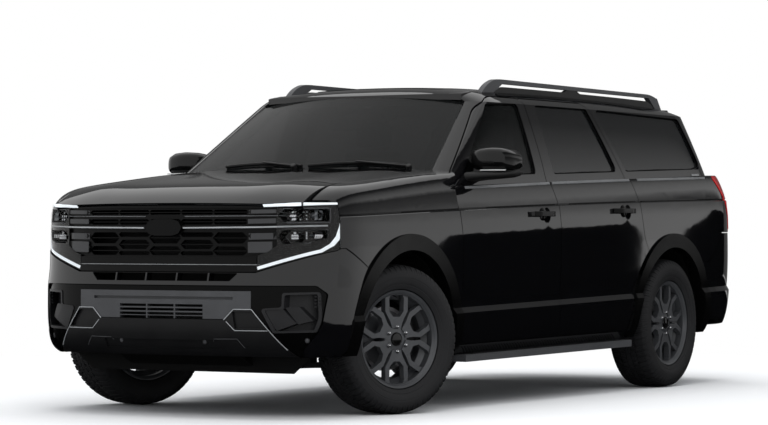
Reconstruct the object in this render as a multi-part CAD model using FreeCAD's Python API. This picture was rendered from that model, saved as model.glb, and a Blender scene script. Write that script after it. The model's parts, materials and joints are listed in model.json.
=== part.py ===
import FreeCAD, Part
import functools
import math
import os

# A large three-row SUV in millimetres: nose towards -Y, the vehicle's left towards +X,
# +Z up, and the origin on the ground below the middle of its bounding box.

# Overall sizes
LENGTH = 5560.0
BODY_WIDTH = 2028.0
WHEELBASE = 3325.0
TRACK = 1718.0
FRONT_OVERHANG = 968.0
SHUT_GAP = 6.0
SEAT_GAP = 0.3
DOOR_HINGE_X = 1017.0
REAR_DOOR_HINGE_Y = -70.0
REAR_DOOR_RELIEF = (3, 16, 11.333, 22.666, 5, 19)   # degrees of swing at which the shut edge is relieved
CHIP = 500.0
GENTLE_TURN = 0.45
GENTLE_BLEND = 55.0

# Wheels and steering
TYRE_DIAMETER = 820.0
TYRE_WIDTH = 275.0
RIM_DIAMETER = 536.0
RIM_WIDTH = 228.0
SPOKE_PAIRS = 6
HUB_BORE = 60.0
DISC_DIAMETER = 350.0
DISC_THICKNESS = 30.0
SPINDLE_RADIUS = 24.0
SPINDLE_CLEARANCE = 0.4
STEER_SHOWN = -20.0
KINGPIN_OFFSET = 75.0

# Plan shape of the body: sides bow out a little, nose and tail are superellipse ends
SIDE_BOW = 11.0
END_START = 2200.0
END_POWER = 3.0
NOSE_REACH = 580.0
TAIL_REACH = 580.0

# Levels of the body side at mid-length, and how much each climbs towards the tail
SILL_Z = 318.0
DOOR_BOTTOM_Z = 374.0
LOW_RISE = 0.0087
LEDGE_Z = 562.0
LEDGE_HEIGHT = 30.0
LEDGE_RISE = 0.018
GROOVE_Z = 1160.0
GROOVE_RISE = 0.0265
BELT_Z = 1295.0
BELT_RISE = 0.032
WALL = 118.0
SIDE_WALL = 172.0
FRAME_WALL = 52.0
PILLAR_WALL = 128.0

# Greenhouse
ROOF_Z = 1870.0
WINDOW_TOP_Z = 1757.0
WINDOW_FRAME = 34.0
GLASS = 5.0
SCREEN_FOOT = (834.0, -1287.0, 1345.0)
SCREEN_HEAD = (695.0, -670.0, 1762.0)
SCREEN_FOOT_MID = (0.0, -1400.0, 1362.0)
SCREEN_HEAD_MID = (0.0, -768.0, 1794.0)
ROOF_SEAM_X = 672.0
TAIL_FOOT = (842.0, 2345.0, 1300.0)
TAIL_HEAD = (640.0, 2215.0, 1790.0)

# Shut lines of the doors along Y
FRONT_DOOR_Y = -1240.0
MID_DOOR_Y = -60.0
REAR_DOOR_Y = 1060.0
HINGE_X = 1015.0
FENDER_SEAM_X = 808.0

# Wheel arches
ARCH_RADIUS = 498.0
FLARE_WIDTH = 88.0
FLARE_PROUD = 14.0
FLARE_DEPTH = 60.0
LINER = 5.0
LINER_X = 540.0
ARCH_Z = TYRE_DIAMETER / 2 - 12.0

V = FreeCAD.Vector
FRONT_AXLE_Y = -LENGTH / 2 + FRONT_OVERHANG
REAR_AXLE_Y = FRONT_AXLE_Y + WHEELBASE
FRONT_ARCH_Y = FRONT_AXLE_Y - 14.0
AXLE_Z = TYRE_DIAMETER / 2
WHEEL_X = TRACK / 2


# Small tools

def blend(table, t):
    """A smooth value between the points of a short table of (place, value)."""
    if t <= table[0][0]:
        return table[0][1]
    if t >= table[-1][0]:
        return table[-1][1]
    for (t0, v0), (t1, v1) in zip(table, table[1:]):
        if t <= t1:
            k = (t - t0) / (t1 - t0)
            return v0 + (v1 - v0) * k
    return table[-1][1]


def mix(a, b, k):
    return a + (b - a) * k


def knots(count, degree):
    spans = count - degree
    return [i / spans for i in range(spans + 1)], [degree + 1] + [1] * (spans - 1) + [degree + 1]


def skin(rows):
    """A smooth face whose edges follow the first and last rows of points."""
    du, dv = min(3, len(rows) - 1), min(3, len(rows[0]) - 1)
    ku, mu = knots(len(rows), du)
    kv, mv = knots(len(rows[0]), dv)
    patch = Part.BSplineSurface()
    patch.buildFromPolesMultsKnots(rows, mu, mv, ku, kv, False, False, du, dv)
    return patch.toShape()


def wall(outer, inner):
    """A closed wall between two sets of strips; each strip is a list of rows."""
    faces = []
    for a, b in zip(outer, inner):
        faces += [skin(a), skin(b)]
        faces.append(skin([[row[0] for row in a], [row[0] for row in b]]))
        faces.append(skin([[row[-1] for row in a], [row[-1] for row in b]]))
    faces.append(skin([outer[0][0], inner[0][0]]))
    faces.append(skin([outer[-1][-1], inner[-1][-1]]))
    shell = Part.makeShell(faces)
    shell.sewShape()
    solid = Part.makeSolid(shell if shell.ShapeType == "Shell" else shell.Shells[0])
    if solid.Volume < 0:
        solid.reverse()
    return solid


def rounded(points, radius):
    """A closed wire through the points, with its corners rounded."""
    count = len(points)
    radii = radius if isinstance(radius, (list, tuple)) else [radius] * count
    edges, ends = [], []
    for i, corner in enumerate(points):
        before = (points[i - 1] - corner)
        after = (points[(i + 1) % count] - corner)
        room = 0.48 * min(before.Length, after.Length)
        angle = before.getAngle(after)
        cut = min(radii[i] / math.tan(angle / 2), room)
        if radii[i] and math.pi - angle < GENTLE_TURN:
            cut = min(GENTLE_BLEND, room)
        if cut < 0.5 or abs(angle - math.pi) < 0.02:
            ends.append((corner, corner, None))
            continue
        first = corner + before.normalize() * cut
        last = corner + after.normalize() * cut
        radius_here = cut * math.tan(angle / 2)
        middle = (first + last) * 0.5
        centre = corner + (middle - corner).normalize() * (radius_here / math.sin(angle / 2))
        top = centre + (corner - centre).normalize() * radius_here
        ends.append((first, last, top))
    for i, (first, last, top) in enumerate(ends):
        if top is not None:
            edges.append(Part.Arc(first, top, last).toShape())
        nearest = ends[(i + 1) % count][0]
        if last.distanceToPoint(nearest) > 1e-6:
            edges.append(Part.LineSegment(last, nearest).toShape())
    return Part.Wire(edges)


def side_prism(outline, x0, x1, radius=0.0, slant=0.0):
    """A prism across the vehicle from (y, z) points; slant leans its end faces."""
    points = [V(x0, y + slant * (x0 - BODY_WIDTH / 2), z) for y, z in outline]
    face = Part.Face(rounded(points, radius))
    return face.extrude(V(x1 - x0, slant * (x1 - x0), 0))


def front_prism(outline, y0, y1, radius=0.0):
    """A prism along the vehicle from (x, z) points."""
    face = Part.Face(rounded([V(x, y0, z) for x, z in outline], radius))
    return face.extrude(V(0, y1 - y0, 0))


def plan_prism(outline, z0, z1, radius=0.0):
    face = Part.Face(rounded([V(x, y, z0) for x, y in outline], radius))
    return face.extrude(V(0, 0, z1 - z0))


def box(x0, x1, y0, y1, z0, z1):
    return Part.makeBox(x1 - x0, y1 - y0, z1 - z0, V(x0, y0, z0))


def rod(start, end, radius):
    line = end - start
    return Part.makeCylinder(radius, line.Length, start, line)


def mirrored(shape):
    return shape.mirror(V(0, 0, 0), V(1, 0, 0))


def pair(shape):
    return Part.makeCompound(solids(shape) + solids(mirrored(shape)))


def solids(shape):
    """The solids of a shape, each facing outwards."""
    group = []
    for solid in shape.Solids:
        group.append(solid.reversed() if solid.Volume < 0 else solid)
    return group


def join(shapes):
    first, rest = shapes[0], shapes[1:]
    return first.multiFuse(rest).removeSplitter() if rest else first


def biggest(shape):
    return max(shape.Solids, key=lambda s: abs(s.Volume))


def save(shape, name):
    group = [s for s in solids(shape) if s.Volume > CHIP]
    out = group[0] if len(group) == 1 else Part.makeCompound(group)
    out.exportStep("parts/" + name + ".step")


# Master surfaces of the body

def half_width(y):
    return BODY_WIDTH / 2 - SIDE_BOW * (y / END_START) ** 2


def end_curve(turn, width, reach):
    """A point of a superellipse end: turn 0 is the centreline, 90 the side."""
    s, c = math.sin(math.radians(turn)), math.cos(math.radians(turn))
    return width * abs(s) ** (2 / END_POWER), reach * abs(c) ** (2 / END_POWER)


def nose_y(x, reach=NOSE_REACH - 32.0):
    k = min(abs(x) / half_width(END_START), 1.0)
    return -END_START - reach * (1.0 - k ** END_POWER) ** (1 / END_POWER)


HOOD_PROFILE = [(0, 1145), (40, 1171), (120, 1212), (230, 1245), (400, 1267), (610, 1287),
                (1000, 1325), (1340, 1350), (1500, 1362)]


def hood_z(x, y):
    """Height of the hood and the fender crowns."""
    drop = 14.0 * (abs(x) / 870.0) ** 2
    return blend(HOOD_PROFILE, y - nose_y(x)) + 6.0 - drop


def groove_z(y):
    return GROOVE_Z + GROOVE_RISE * y - 2.4e-6 * y * y


def belt_z(y):
    return BELT_Z + BELT_RISE * y


def ring(height, inset, nose, tail, depth=0.0, part="side"):
    """One level of the body as points from nose to tail; height is a function of y."""
    points = []
    turns = [9.0 * i for i in range(1, 11)]
    for turn in turns:
        x, y = end_curve(turn, half_width(END_START) - inset - depth, nose - depth)
        points.append(V(x, -END_START - y, height(-END_START - y)))
    steps = 14
    for i in range(1, steps):
        y = -END_START + 2 * END_START * i / steps
        points.append(V(half_width(y) - inset - depth, y, height(y)))
    for turn in reversed(turns):
        x, y = end_curve(turn, half_width(END_START) - inset - depth, tail - depth)
        points.append(V(x, END_START + y, height(END_START + y)))
    return points


def low(z):
    return lambda y: z + LOW_RISE * y


def ledge(z):
    return lambda y: z + LEDGE_RISE * y


def lower_levels():
    """Levels from the sill to the groove: height, inset from the widest point, nose, tail."""
    top = LEDGE_Z + LEDGE_HEIGHT
    return [
        [(low(SILL_Z), 74, 500, 520), (low(DOOR_BOTTOM_Z - 6), 36, 530, 545),
         (low(DOOR_BOTTOM_Z + 60), 12, 548, 574), (ledge(LEDGE_Z), 3, 556, 580)],
        [(ledge(LEDGE_Z), 3, 556, 580), (ledge(top), 20, 552, 574)],
        [(ledge(top), 20, 552, 574), (low(650), 12, 552, 566), (low(790), 3, 550, 550),
         (low(940), 0, 548, 530), (lambda y: groove_z(y) - 70, 2, 548, 515),
         (lambda y: groove_z(y) - 9, 7, 548, 505)],
        [(lambda y: groove_z(y) - 9, 7, 548, 505), (groove_z, 19, 546, 500)],
        [(groove_z, 19, 546, 500), (lambda y: groove_z(y) + 7, 14, 546, 500)],
    ]


def shoulder_levels():
    """Levels from the groove up to the belt, beside the doors and the rear quarter."""
    return [
        [(lambda y: groove_z(y) + 7, 14, 546, 500), (lambda y: belt_z(y) - 80, 22, 546, 480),
         (lambda y: belt_z(y) - 20, 36, 546, 465), (belt_z, 50, 546, 455)],
    ]


def tail_levels():
    """The same levels where the tail falls in above the lamps."""
    lower = lower_levels()
    shoulder = [(lambda y: groove_z(y) + 7, 14, 546, 500), (lambda y: belt_z(y) - 90, 22, 546, 440),
                (lambda y: belt_z(y) - 20, 36, 546, 335), (belt_z, 50, 546, 295)]
    return lower + [shoulder]


def fender_z(y):
    return hood_z(FENDER_SEAM_X + 62.0, y)


def fender_levels():
    """Levels from the groove over the fender crown to the seam of the hood."""
    seam = half_width(END_START) - FENDER_SEAM_X
    return [
        [(lambda y: groove_z(y) + 7, 14, 546, 500),
         (lambda y: mix(groove_z(y), fender_z(y), 0.55), 22, 546, 480),
         (lambda y: fender_z(y) - 26, 48, 544, 465),
         (lambda y: fender_z(y) - 4, 92, 540, 455),
         (lambda y: fender_z(y) + 4, 140, 536, 445),
         (lambda y: fender_z(y) + 8, seam, 530, 440)],
    ]


def body_wall(levels, start, depth):
    """The wall of the left side between two depths below the outer skin."""
    outer = [[ring(h, i, n, t, start) for h, i, n, t in strip] for strip in levels]
    inner = [[ring(h, i, n, t, depth) for h, i, n, t in strip] for strip in levels]
    return wall(outer, inner)


def side_inset(z):
    """How far the glasshouse leans in from the widest point of the body."""
    return blend([(1180, 45), (1300, 67), (1450, 108), (1620, 163), (1757, 213)], z)


def screen_edge(z):
    """The corner of the windscreen at a height."""
    k = (z - SCREEN_FOOT[2]) / (SCREEN_HEAD[2] - SCREEN_FOOT[2])
    return mix(SCREEN_FOOT[0], SCREEN_HEAD[0], k), mix(SCREEN_FOOT[1], SCREEN_HEAD[1], k)


def tail_edge(z):
    """The corner of the rear opening at a height."""
    k = (z - TAIL_FOOT[2]) / (TAIL_HEAD[2] - TAIL_FOOT[2])
    return mix(TAIL_FOOT[0], TAIL_HEAD[0], k), mix(TAIL_FOOT[1], TAIL_HEAD[1], k)


def roof_z(x, y):
    crown = blend([(-900, 1720), (-760, 1799), (-690, 1830), (-600, 1850), (-450, 1861), (-100, 1868), (500, ROOF_Z),
                   (1300, 1863), (1900, 1845), (2250, 1818), (2500, 1785)], y)
    return crown - 34.0 * (abs(x) / ROOF_SEAM_X) ** 2.4


def glasshouse_row(z, depth, lift=0.0, inset=None):
    """One level of the glasshouse from the windscreen corner to the rear opening."""
    lean = side_inset(z) if inset is None else inset
    ax, ay = screen_edge(z)
    tx, ty = tail_edge(z)
    side = lambda y: half_width(y) - lean - depth
    pinch = max(depth - 30.0, 0.0)
    points = [V(ax - pinch, ay + 0.75 * pinch, z), V(ax + 40 - 0.9 * pinch, ay + 14 + 0.75 * pinch, z),
              V(side(ay + 90) - 16, ay + 90 + 0.5 * pinch, z), V(side(ay + 190) - 4, ay + 200, z)]
    steps = 12
    first, last = ay + 300, ty - 320
    for i in range(steps + 1):
        y = mix(first, last, i / steps)
        points.append(V(side(y), y, z + lift))
    back = 0.8 * depth
    points += [V(side(ty - 190) - 3, ty - 190 - 0.3 * depth, z), V(side(ty - 80) - 16, ty - 90 - 0.6 * depth, z),
               V(mix(tx, side(ty), 0.45), ty - 22 - back, z), V(tx, ty - back, z)]
    return points


def roof_row(x_side, depth, k):
    """Rows that turn from the window tops over the roof side to the roof seam."""
    z = WINDOW_TOP_Z
    base = glasshouse_row(z, depth, inset=side_inset(z))
    points = []
    for p in base:
        reach = min(1.0, (p.x + depth) / 801.0)
        x = mix(p.x, (ROOF_SEAM_X - depth * 0.3) * reach, k)
        top = roof_z(x, p.y) - depth * 0.8
        rise = 1.0 - (1.0 - k) ** 2.0
        points.append(V(x, p.y, mix(z, top, rise)))
    return points


def glasshouse_wall(start, depth, foot=1235.0):
    """The wall of the left side of the glasshouse, up to the roof seam."""
    def strips(d):
        heights = [foot, 1330.0, 1450.0, 1560.0, 1660.0, WINDOW_TOP_Z]
        side = [glasshouse_row(z, d) for z in heights]
        roof = [side[-1]] + [roof_row(0, d, k) for k in (0.3, 0.65, 1.0)]
        return [side, roof]
    return wall(strips(start), strips(depth))


# Outlines in the side view as (y, z)

def mid_line(shift, grow=0.0):
    """The shut line between the doors, from the bottom up."""
    line = [(MID_DOOR_Y, DOOR_BOTTOM_Z - grow), (MID_DOOR_Y, 1030), (MID_DOOR_Y - 20, 1173),
            (MID_DOOR_Y - 62, 1287), (MID_DOOR_Y - 58, DOOR_TOP_Z + grow)]
    return [(y + shift, z) for y, z in line]


def front_door_outline(grow=0.0):
    g = grow
    return [(FRONT_DOOR_Y - g, low(DOOR_BOTTOM_Z)(FRONT_DOOR_Y) - g), *mid_line(g - SHUT_GAP / 2, g),
            (-480, DOOR_TOP_Z + g), (-660 - g, 1719 + g), (-1205 - g, 1336 + g),
            (FRONT_DOOR_Y - 55 - g, 1262 + g), (FRONT_DOOR_Y - 35 - g, 1117), (FRONT_DOOR_Y - 5 - g, 950)]


def rear_door_outline(grow=0.0):
    g = grow
    front = list(reversed(mid_line(SHUT_GAP / 2 - g, g)))
    return [*front, (1140 + g, low(DOOR_BOTTOM_Z)(1000) - g), (1140 + g, 885),
            (REAR_DOOR_Y + 25 + g, 950), (REAR_DOOR_Y + g, 1040), (REAR_DOOR_Y - 43 + g, 1200),
            (REAR_DOOR_Y - 98 + g, 1310), (735 + g, 1757), (690 + g, DOOR_TOP_Z + g)]


DOOR_TOP_Z = 1790.0
APERTURE_LAP = 46.0
DOOR_SLANT = 0.1
FRONT_WINDOW = [(-1140, 1308), (-236, 1337), (-230, WINDOW_TOP_Z), (-590, WINDOW_TOP_Z - 12)]
REAR_WINDOW = [(-14, 1340), (862, 1368), (676, WINDOW_TOP_Z), (-12, WINDOW_TOP_Z)]
QUARTER_WINDOW = [(985, 1372), (2158, 1408), (2018, WINDOW_TOP_Z - 20), (768, WINDOW_TOP_Z)]
DOOR_CORNERS = 24.0


def arch_cut(axle_y, radius, x0=560.0, x1=1200.0):
    return rod(V(x0, axle_y, ARCH_Z), V(x1, axle_y, ARCH_Z), radius)


def shrink(outline, amount):
    """Move each point of an outline towards the middle by about an amount."""
    cy = sum(p[0] for p in outline) / len(outline)
    cz = sum(p[1] for p in outline) / len(outline)
    out = []
    for y, z in outline:
        out.append((y - math.copysign(min(amount, abs(y - cy)), y - cy),
                    z - math.copysign(min(amount, abs(z - cz)), z - cz)))
    return out


def door(outline, window):
    """One left door: a full-depth lower body, a thin window frame and its window cut."""
    prism = side_prism(outline, 0, 1200, DOOR_CORNERS, DOOR_SLANT)
    lower = DOOR_MASTER.common(prism)
    upper = FRAME_MASTER.common(prism)
    shape = join([lower, upper])
    shape = shape.cut(side_prism(window, 0, 1200, 30))
    return shape.cut(arch_cut(REAR_AXLE_Y, ARCH_RADIUS + FLARE_WIDTH + 16))


def pane(outline, corner):
    """A side window pane that fills its opening, set in from the outer skin."""
    return PANE_MASTER.common(side_prism(outline, 0, 1200, corner))


def end_ring(height, inset, reach, depth, tail=False):
    """One level round a whole end of the body, from the left arch to the right arch."""
    sign = 1 if tail else -1
    half = []
    for y in (900.0, 1200.0, 1500.0, 1750.0, 2000.0):
        half.append(V(half_width(y) - inset - depth, sign * y, height(sign * y)))
    for i in range(10, -1, -1):
        x, y = end_curve(9.0 * i, half_width(END_START) - inset - depth, reach - depth)
        place = sign * (END_START + y)
        half.append(V(x, place, height(place)))
    return half + [V(-q.x, q.y, q.z) for q in reversed(half[:-1])]


def end_wall(levels, start, depth, tail=False):
    def strips(d):
        return [[end_ring(h, i, r, d, tail) for h, i, r in strip] for strip in levels]
    return wall(strips(start), strips(depth))


def tail_end_levels():
    return [[(h, i, t) for h, i, n, t in strip] for strip in tail_levels()]


def flat(z):
    return lambda y: z


NOSE_LEVELS = [
    [(330, 62, 520), (352, 22, 548), (420, 4, 574), (520, 0, 580), (640, 0, 580), (700, 0, 577)],
    [(700, 0, 577), (745, 2, 568), (790, 3, 553), (860, 3, 549), (930, 2, 548), (1090, 5, 548)],
    [(1090, 5, 548), (1150, 20, 546)],
]


def nose_levels():
    return [[(flat(z), i, r) for z, i, r in strip] for strip in NOSE_LEVELS]


@functools.lru_cache(maxsize=None)
def nose_wall(start, depth):
    """The wall of the whole nose between two depths below its skin."""
    return end_wall(nose_levels(), start, depth)


LAMP_REAR_Y = -2473.0
LAMP_TOP_Z = 1160.0
LAMP_FOOT = (574.0, 784.0)
LAMP_HEEL = (941.0, 899.0)
LAMP_INNER_X = 606.0
LAMP_POD_X = 676.0
FRAME_HIGH_Z = 1152.0
FRAME_HIGH_FOOT_Z = 1122.0
FRAME_LOW_Z = 868.0
BRIGHT_BAR_Z = 1020.0
BUMPER_SIDE = [(-2440.0, 905.0), (-2240.0, 790.0)]
MASK_TOP_Z = 712.0
TAIL_BUMPER_SIDE = [(1774.0, 781.0), (2075.0, 804.0), (2155.0, 865.0), (2278.0, 992.0)]
LIFTGATE_X = 742.0
LIFTGATE_BOTTOM_Z = 800.0
LAMP_OUTLINE = [(2175, 1366), (2330, 1230), (2430, 1090), (2450, 995), (2900, 995), (2900, 1366)]
WALL_CUT = ARCH_RADIUS + FLARE_WIDTH + 1.0


@functools.lru_cache(maxsize=None)
def door_rooms(outline):
    """What the body leaves free round a closed door: below the belt and above it."""
    prism = side_prism(outline(SHUT_GAP), 0, 1200, DOOR_CORNERS, DOOR_SLANT)
    return (body_wall(tail_levels(), -9, WALL + SHUT_GAP).common(prism),
            glasshouse_wall(-9, FRAME_WALL + SHUT_GAP).common(prism))


def door_room(outline):
    return Part.makeCompound(list(door_rooms(outline)))


@functools.lru_cache(maxsize=None)
def gate_room():
    """What the body leaves free round the closed liftgate."""
    low_part = end_wall(tail_end_levels(), -9, LIFTGATE_DEPTH + SHUT_GAP, tail=True)
    low_part = low_part.common(box(-LIFTGATE_X - SHUT_GAP, LIFTGATE_X + SHUT_GAP, 2200, 2900,
                                   LIFTGATE_BOTTOM_Z - SHUT_GAP, 1400 + SHUT_GAP))
    high = LIFTGATE_TOP_Z + SHUT_GAP
    high_part = wall([tail_rows(-60, LIFTGATE_EAR_Z, high, SHUT_GAP)],
                     [tail_rows(LIFTGATE_FRAME + SHUT_GAP, LIFTGATE_EAR_Z, high, SHUT_GAP)])
    return Part.makeCompound([low_part, high_part])


def make_doors():
    return door(front_door_outline(), FRONT_WINDOW), door(rear_door_outline(), REAR_WINDOW)


def make_body_side():
    """Sill, pillars, quarter panel and roof side: an outer layer round the doors and
    an inner layer that laps behind them."""
    edge = FRONT_DOOR_Y - 60
    around = side_prism([(edge, low(SILL_Z)(edge) + 2), (REAR_AXLE_Y - 400, low(SILL_Z)(900) + 2),
                         (REAR_AXLE_Y, 700), *TAIL_BUMPER_SIDE, (2900, 992), (2900, 1500), (edge, 1300)],
                        0, 1200)
    holes = [side_prism(o(SHUT_GAP), 0, 1200, DOOR_CORNERS, DOOR_SLANT)
             for o in (front_door_outline, rear_door_outline)]
    keep = arch_cut(REAR_AXLE_Y, WALL_CUT + 56, 0, 1250)
    apertures = [side_prism(o(-APERTURE_LAP), 0, 1200, 60).cut(keep)
                 for o in (front_door_outline, rear_door_outline)]
    skin_part = body_wall(tail_levels(), 0, WALL + 36).common(around)
    skin_part = skin_part.cut(box(0, 1200, -2000, FRONT_DOOR_Y - 3, 200, 1400))
    inner_part = body_wall(tail_levels(), WALL + 6, SIDE_WALL).common(around)
    frame_part = glasshouse_wall(0, FRAME_WALL + 26)
    trim = [(screen_edge(1246)[1] + 60, 1246), (screen_edge(1741)[1] + 60, 1741),
            (tail_edge(1741)[1] - 60, 1741), (tail_edge(1246)[1] - 60, 1246)]
    pillar_part = glasshouse_wall(FRAME_WALL + 6, PILLAR_WALL).common(side_prism(trim, 100, 1300))
    outlines = (front_door_outline, rear_door_outline)
    for hole, aperture, outline in zip(holes, apertures, outlines):
        low_room, high_room = door_rooms(outline)
        skin_part, frame_part = skin_part.cut(hole), frame_part.cut(hole)
        inner_part = inner_part.cut(aperture).cut(high_room)
        pillar_part = pillar_part.cut(aperture).cut(low_room)
    swing = side_prism([(-135, 1215), (-45, 1215), (-45, 1790), (-135, 1790)], 0, 1200)
    pillar_part = pillar_part.cut(glasshouse_wall(FRAME_WALL, FRAME_WALL + 18).common(swing))
    shape = join([join([skin_part, inner_part]), join([frame_part, pillar_part])])
    shape = shape.cut(box(0, 1200, -2000, FRONT_DOOR_Y + 30, 1000, 1336))
    shape = shape.cut(side_prism(QUARTER_WINDOW, 0, 1200, 40))
    shape = shape.cut(arch_cut(REAR_AXLE_Y, WALL_CUT))
    shape = shape.cut(box(0, LIFTGATE_X + 6, 2200, 2900, 300, 1400))
    lamp = body_wall(tail_levels(), -40, 70 + SEAT_GAP).common(side_prism(LAMP_OUTLINE, 700, 1200, 14))
    return biggest(trimmed(shape, lamp, gate_room()))


def make_fender():
    """Front fender: side, crown and the seam with the hood."""
    rear = [(FRONT_DOOR_Y - SHUT_GAP, 335), (FRONT_DOOR_Y - SHUT_GAP, 940), (-1283, 1117),
            (-1303, 1255), (-1216, 1340), (-1216, 1420)]
    outline = [*rear, (-2900, 1420), (-2900, 905), *[(y, z + 4) for y, z in BUMPER_SIDE],
               (FRONT_AXLE_Y, 700), (FRONT_AXLE_Y + 400, 335)]
    shape = body_wall(lower_levels() + fender_levels(), 0, 40)
    shape = shape.common(side_prism(outline, FENDER_SEAM_X + 3, 1200))
    shape = shape.cut(box(0, 1200, -2900, LAMP_REAR_Y + 3, 700, LAMP_TOP_Z + 3))
    return shape.cut(arch_cut(FRONT_ARCH_Y, WALL_CUT))


def hood_back(x):
    return mix(-1436.0, -1318.0, (x / 808.0) ** 2)


def hood_rows(depth):
    rows = []
    for x in (0.0, 200.0, 400.0, 560.0, 680.0, 760.0, FENDER_SEAM_X - 3):
        row = []
        ahead = nose_y(x) + depth * 0.6
        back = hood_back(x)
        for k in (0, 0.012, 0.035, 0.07, 0.12, 0.18, 0.26, 0.36, 0.48, 0.6, 0.74, 0.88, 1.0):
            y = mix(ahead, back, k)
            lift = 10.0 * math.exp(-((x - 590.0) / 90.0) ** 2) * min(k / 0.15, 1.0)
            row.append(V(x, y, hood_z(x, y) + lift - depth))
        rows.append(row)
    return [[V(-q.x, q.y, q.z) for q in row] for row in reversed(rows[1:])] + rows


def make_hood():
    return wall([hood_rows(0.0)], [hood_rows(34.0)])


@functools.lru_cache(maxsize=None)
def hood_room():
    """What fixed pieces leave free round the closed hood."""
    room = wall([hood_rows(0.0)], [hood_rows(34.0 + SHUT_GAP)])
    ahead = room.copy()
    ahead.translate(V(0, -SHUT_GAP, 0))
    return Part.makeCompound([room, ahead])


def make_roof():
    def rows(depth):
        out = []
        for x in (0.0, 180.0, 360.0, 500.0, 600.0, ROOF_SEAM_X - 1.0):
            first = mix(-757.0, -668.0, (x / 690.0) ** 2)
            last = mix(2205.0, 2150.0, (x / 690.0) ** 2)
            row = []
            for k in (0, 0.02, 0.06, 0.12, 0.2, 0.3, 0.42, 0.55, 0.7, 0.82, 0.92, 1.0):
                y = mix(first, last, k)
                row.append(V(x, y, roof_z(x, y) - depth))
            out.append(row)
        return [[V(-q.x, q.y, q.z) for q in row] for row in reversed(out[1:])] + out
    return wall([rows(0.0)], [rows(34.0)])


def make_screen():
    def rows(shift):
        out = []
        for k in (0.0, 0.35, 0.7, 1.0):
            row = []
            for u in (-1.0, -0.8, -0.5, -0.2, 0.2, 0.5, 0.8, 1.0):
                x = u * (mix(SCREEN_FOOT[0], SCREEN_HEAD[0], k) - 5)
                y_mid = mix(SCREEN_FOOT_MID[1], SCREEN_HEAD_MID[1], k)
                y_edge = mix(SCREEN_FOOT[1], SCREEN_HEAD[1], k)
                z_mid = mix(SCREEN_FOOT_MID[2], SCREEN_HEAD_MID[2], k) + 40 * k * (1 - k)
                z_edge = mix(SCREEN_FOOT[2], SCREEN_HEAD[2], k) + 30 * k * (1 - k)
                w = abs(u) ** 2.2
                row.append(V(x, mix(y_mid, y_edge, w) + shift * 0.55, mix(z_mid, z_edge, w) - shift * 0.83))
            out.append(row)
        return out
    return wall([rows(6.0)], [rows(12.0)])


def tail_rows(depth, z_low, z_high, wide=0.0):
    rows = []
    for i in range(6):
        z = mix(z_low, z_high, i / 5)
        tx, ty = tail_edge(z)
        row = []
        for u in (-1.0, -0.9, -0.7, -0.35, 0.0, 0.35, 0.7, 0.9, 1.0):
            bow = 92.0 * (1 - abs(u) ** 2.4)
            row.append(V(u * (tx - 6 + wide), ty + 6 + bow - depth, z))
        rows.append(row)
    return rows


LIFTGATE_TOP_Z = 1806.0
LIFTGATE_DEPTH = 112.0
LIFTGATE_FRAME = 60.0
LIFTGATE_TAPER = 24.0
LIFTGATE_EAR_Z = 1368.0
LIFTGATE_HINGE_Y = 2170.0
LIFTGATE_HINGE_Z = 1800.0
REAR_WINDOW_OUTLINE = [(-735, 1400), (735, 1400), (590, 1742), (-590, 1742)]


def make_liftgate():
    lower = end_wall(tail_end_levels(), 0, LIFTGATE_DEPTH, tail=True)
    lower = lower.common(box(-LIFTGATE_X, LIFTGATE_X, 2200, 2900, LIFTGATE_BOTTOM_Z, 1400))
    foot = LIFTGATE_EAR_Z + SHUT_GAP
    lip = wall([tail_rows(0, 1320.0, foot + 20, -110)], [tail_rows(LIFTGATE_FRAME, 1320.0, foot + 20, -110)])
    upper = wall([tail_rows(0, foot, LIFTGATE_TOP_Z)],
                 [tail_rows(LIFTGATE_FRAME, foot, LIFTGATE_TOP_Z, -LIFTGATE_TAPER)])
    upper = upper.cut(front_prism(REAR_WINDOW_OUTLINE, 2000, 2700, 50))
    upper = upper.cut(box(-900, 900, 2000, LIFTGATE_HINGE_Y + 2, 1690, 1900))
    return join([lower, lip, upper])


def make_liftgate_glass():
    pane_wall = wall([tail_rows(14, 1360.0, 1790.0)], [tail_rows(14 + GLASS, 1360.0, 1790.0)])
    return pane_wall.common(front_prism(REAR_WINDOW_OUTLINE, 2000, 2700, 50))


def front_outline(left_half):
    """A symmetric (x, z) outline from its left half, read from the top centre downwards."""
    return list(left_half) + [(-x, z) for x, z in reversed(left_half)]


MOUTH = [(878, MASK_TOP_Z), (922, 668), (900, 500), (872, 445), (812, 372), (792, 322)]
PLATE_PANEL = [(554, 682), (554, 588), (456, 588), (402, 534)]
SKID_OUTLINE = [(400, 530), (458, 586), (560, 586), (655, 471), (723, 388), (768, 334)]
SKID_RECESS = [(450, 574), (570, 574), (638, 484), (463, 484)]
FOG_POCKET = [(719, 674), (889, 679), (895, 532), (873, 466), (672, 461), (606, 590), (716, 598)]
INTAKE = [(476, 777), (431, 734)]
INTAKE_VANES = [-300.0, -100.0, 100.0, 300.0]
VANE = 5.0


def grown(outline, distance):
    """The outline with each side moved outwards by a distance."""
    count = len(outline)
    area = sum(outline[i - 1][0] * outline[i][1] - outline[i][0] * outline[i - 1][1] for i in range(count))
    sign = math.copysign(distance, area)
    out = []
    for i, (x, z) in enumerate(outline):
        px, pz = outline[i - 1]
        qx, qz = outline[(i + 1) % count]
        a, b = math.hypot(x - px, z - pz), math.hypot(qx - x, qz - z)
        ax, az = (z - pz) / a, -(x - px) / a
        bx, bz = (qz - z) / b, -(qx - x) / b
        k = sign / (1 + ax * bx + az * bz)
        out.append((x + (ax + bx) * k, z + (az + bz) * k))
    return out


def through(outline, radius=0.0):
    return front_prism(outline, -2950, -2300, radius)


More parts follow.
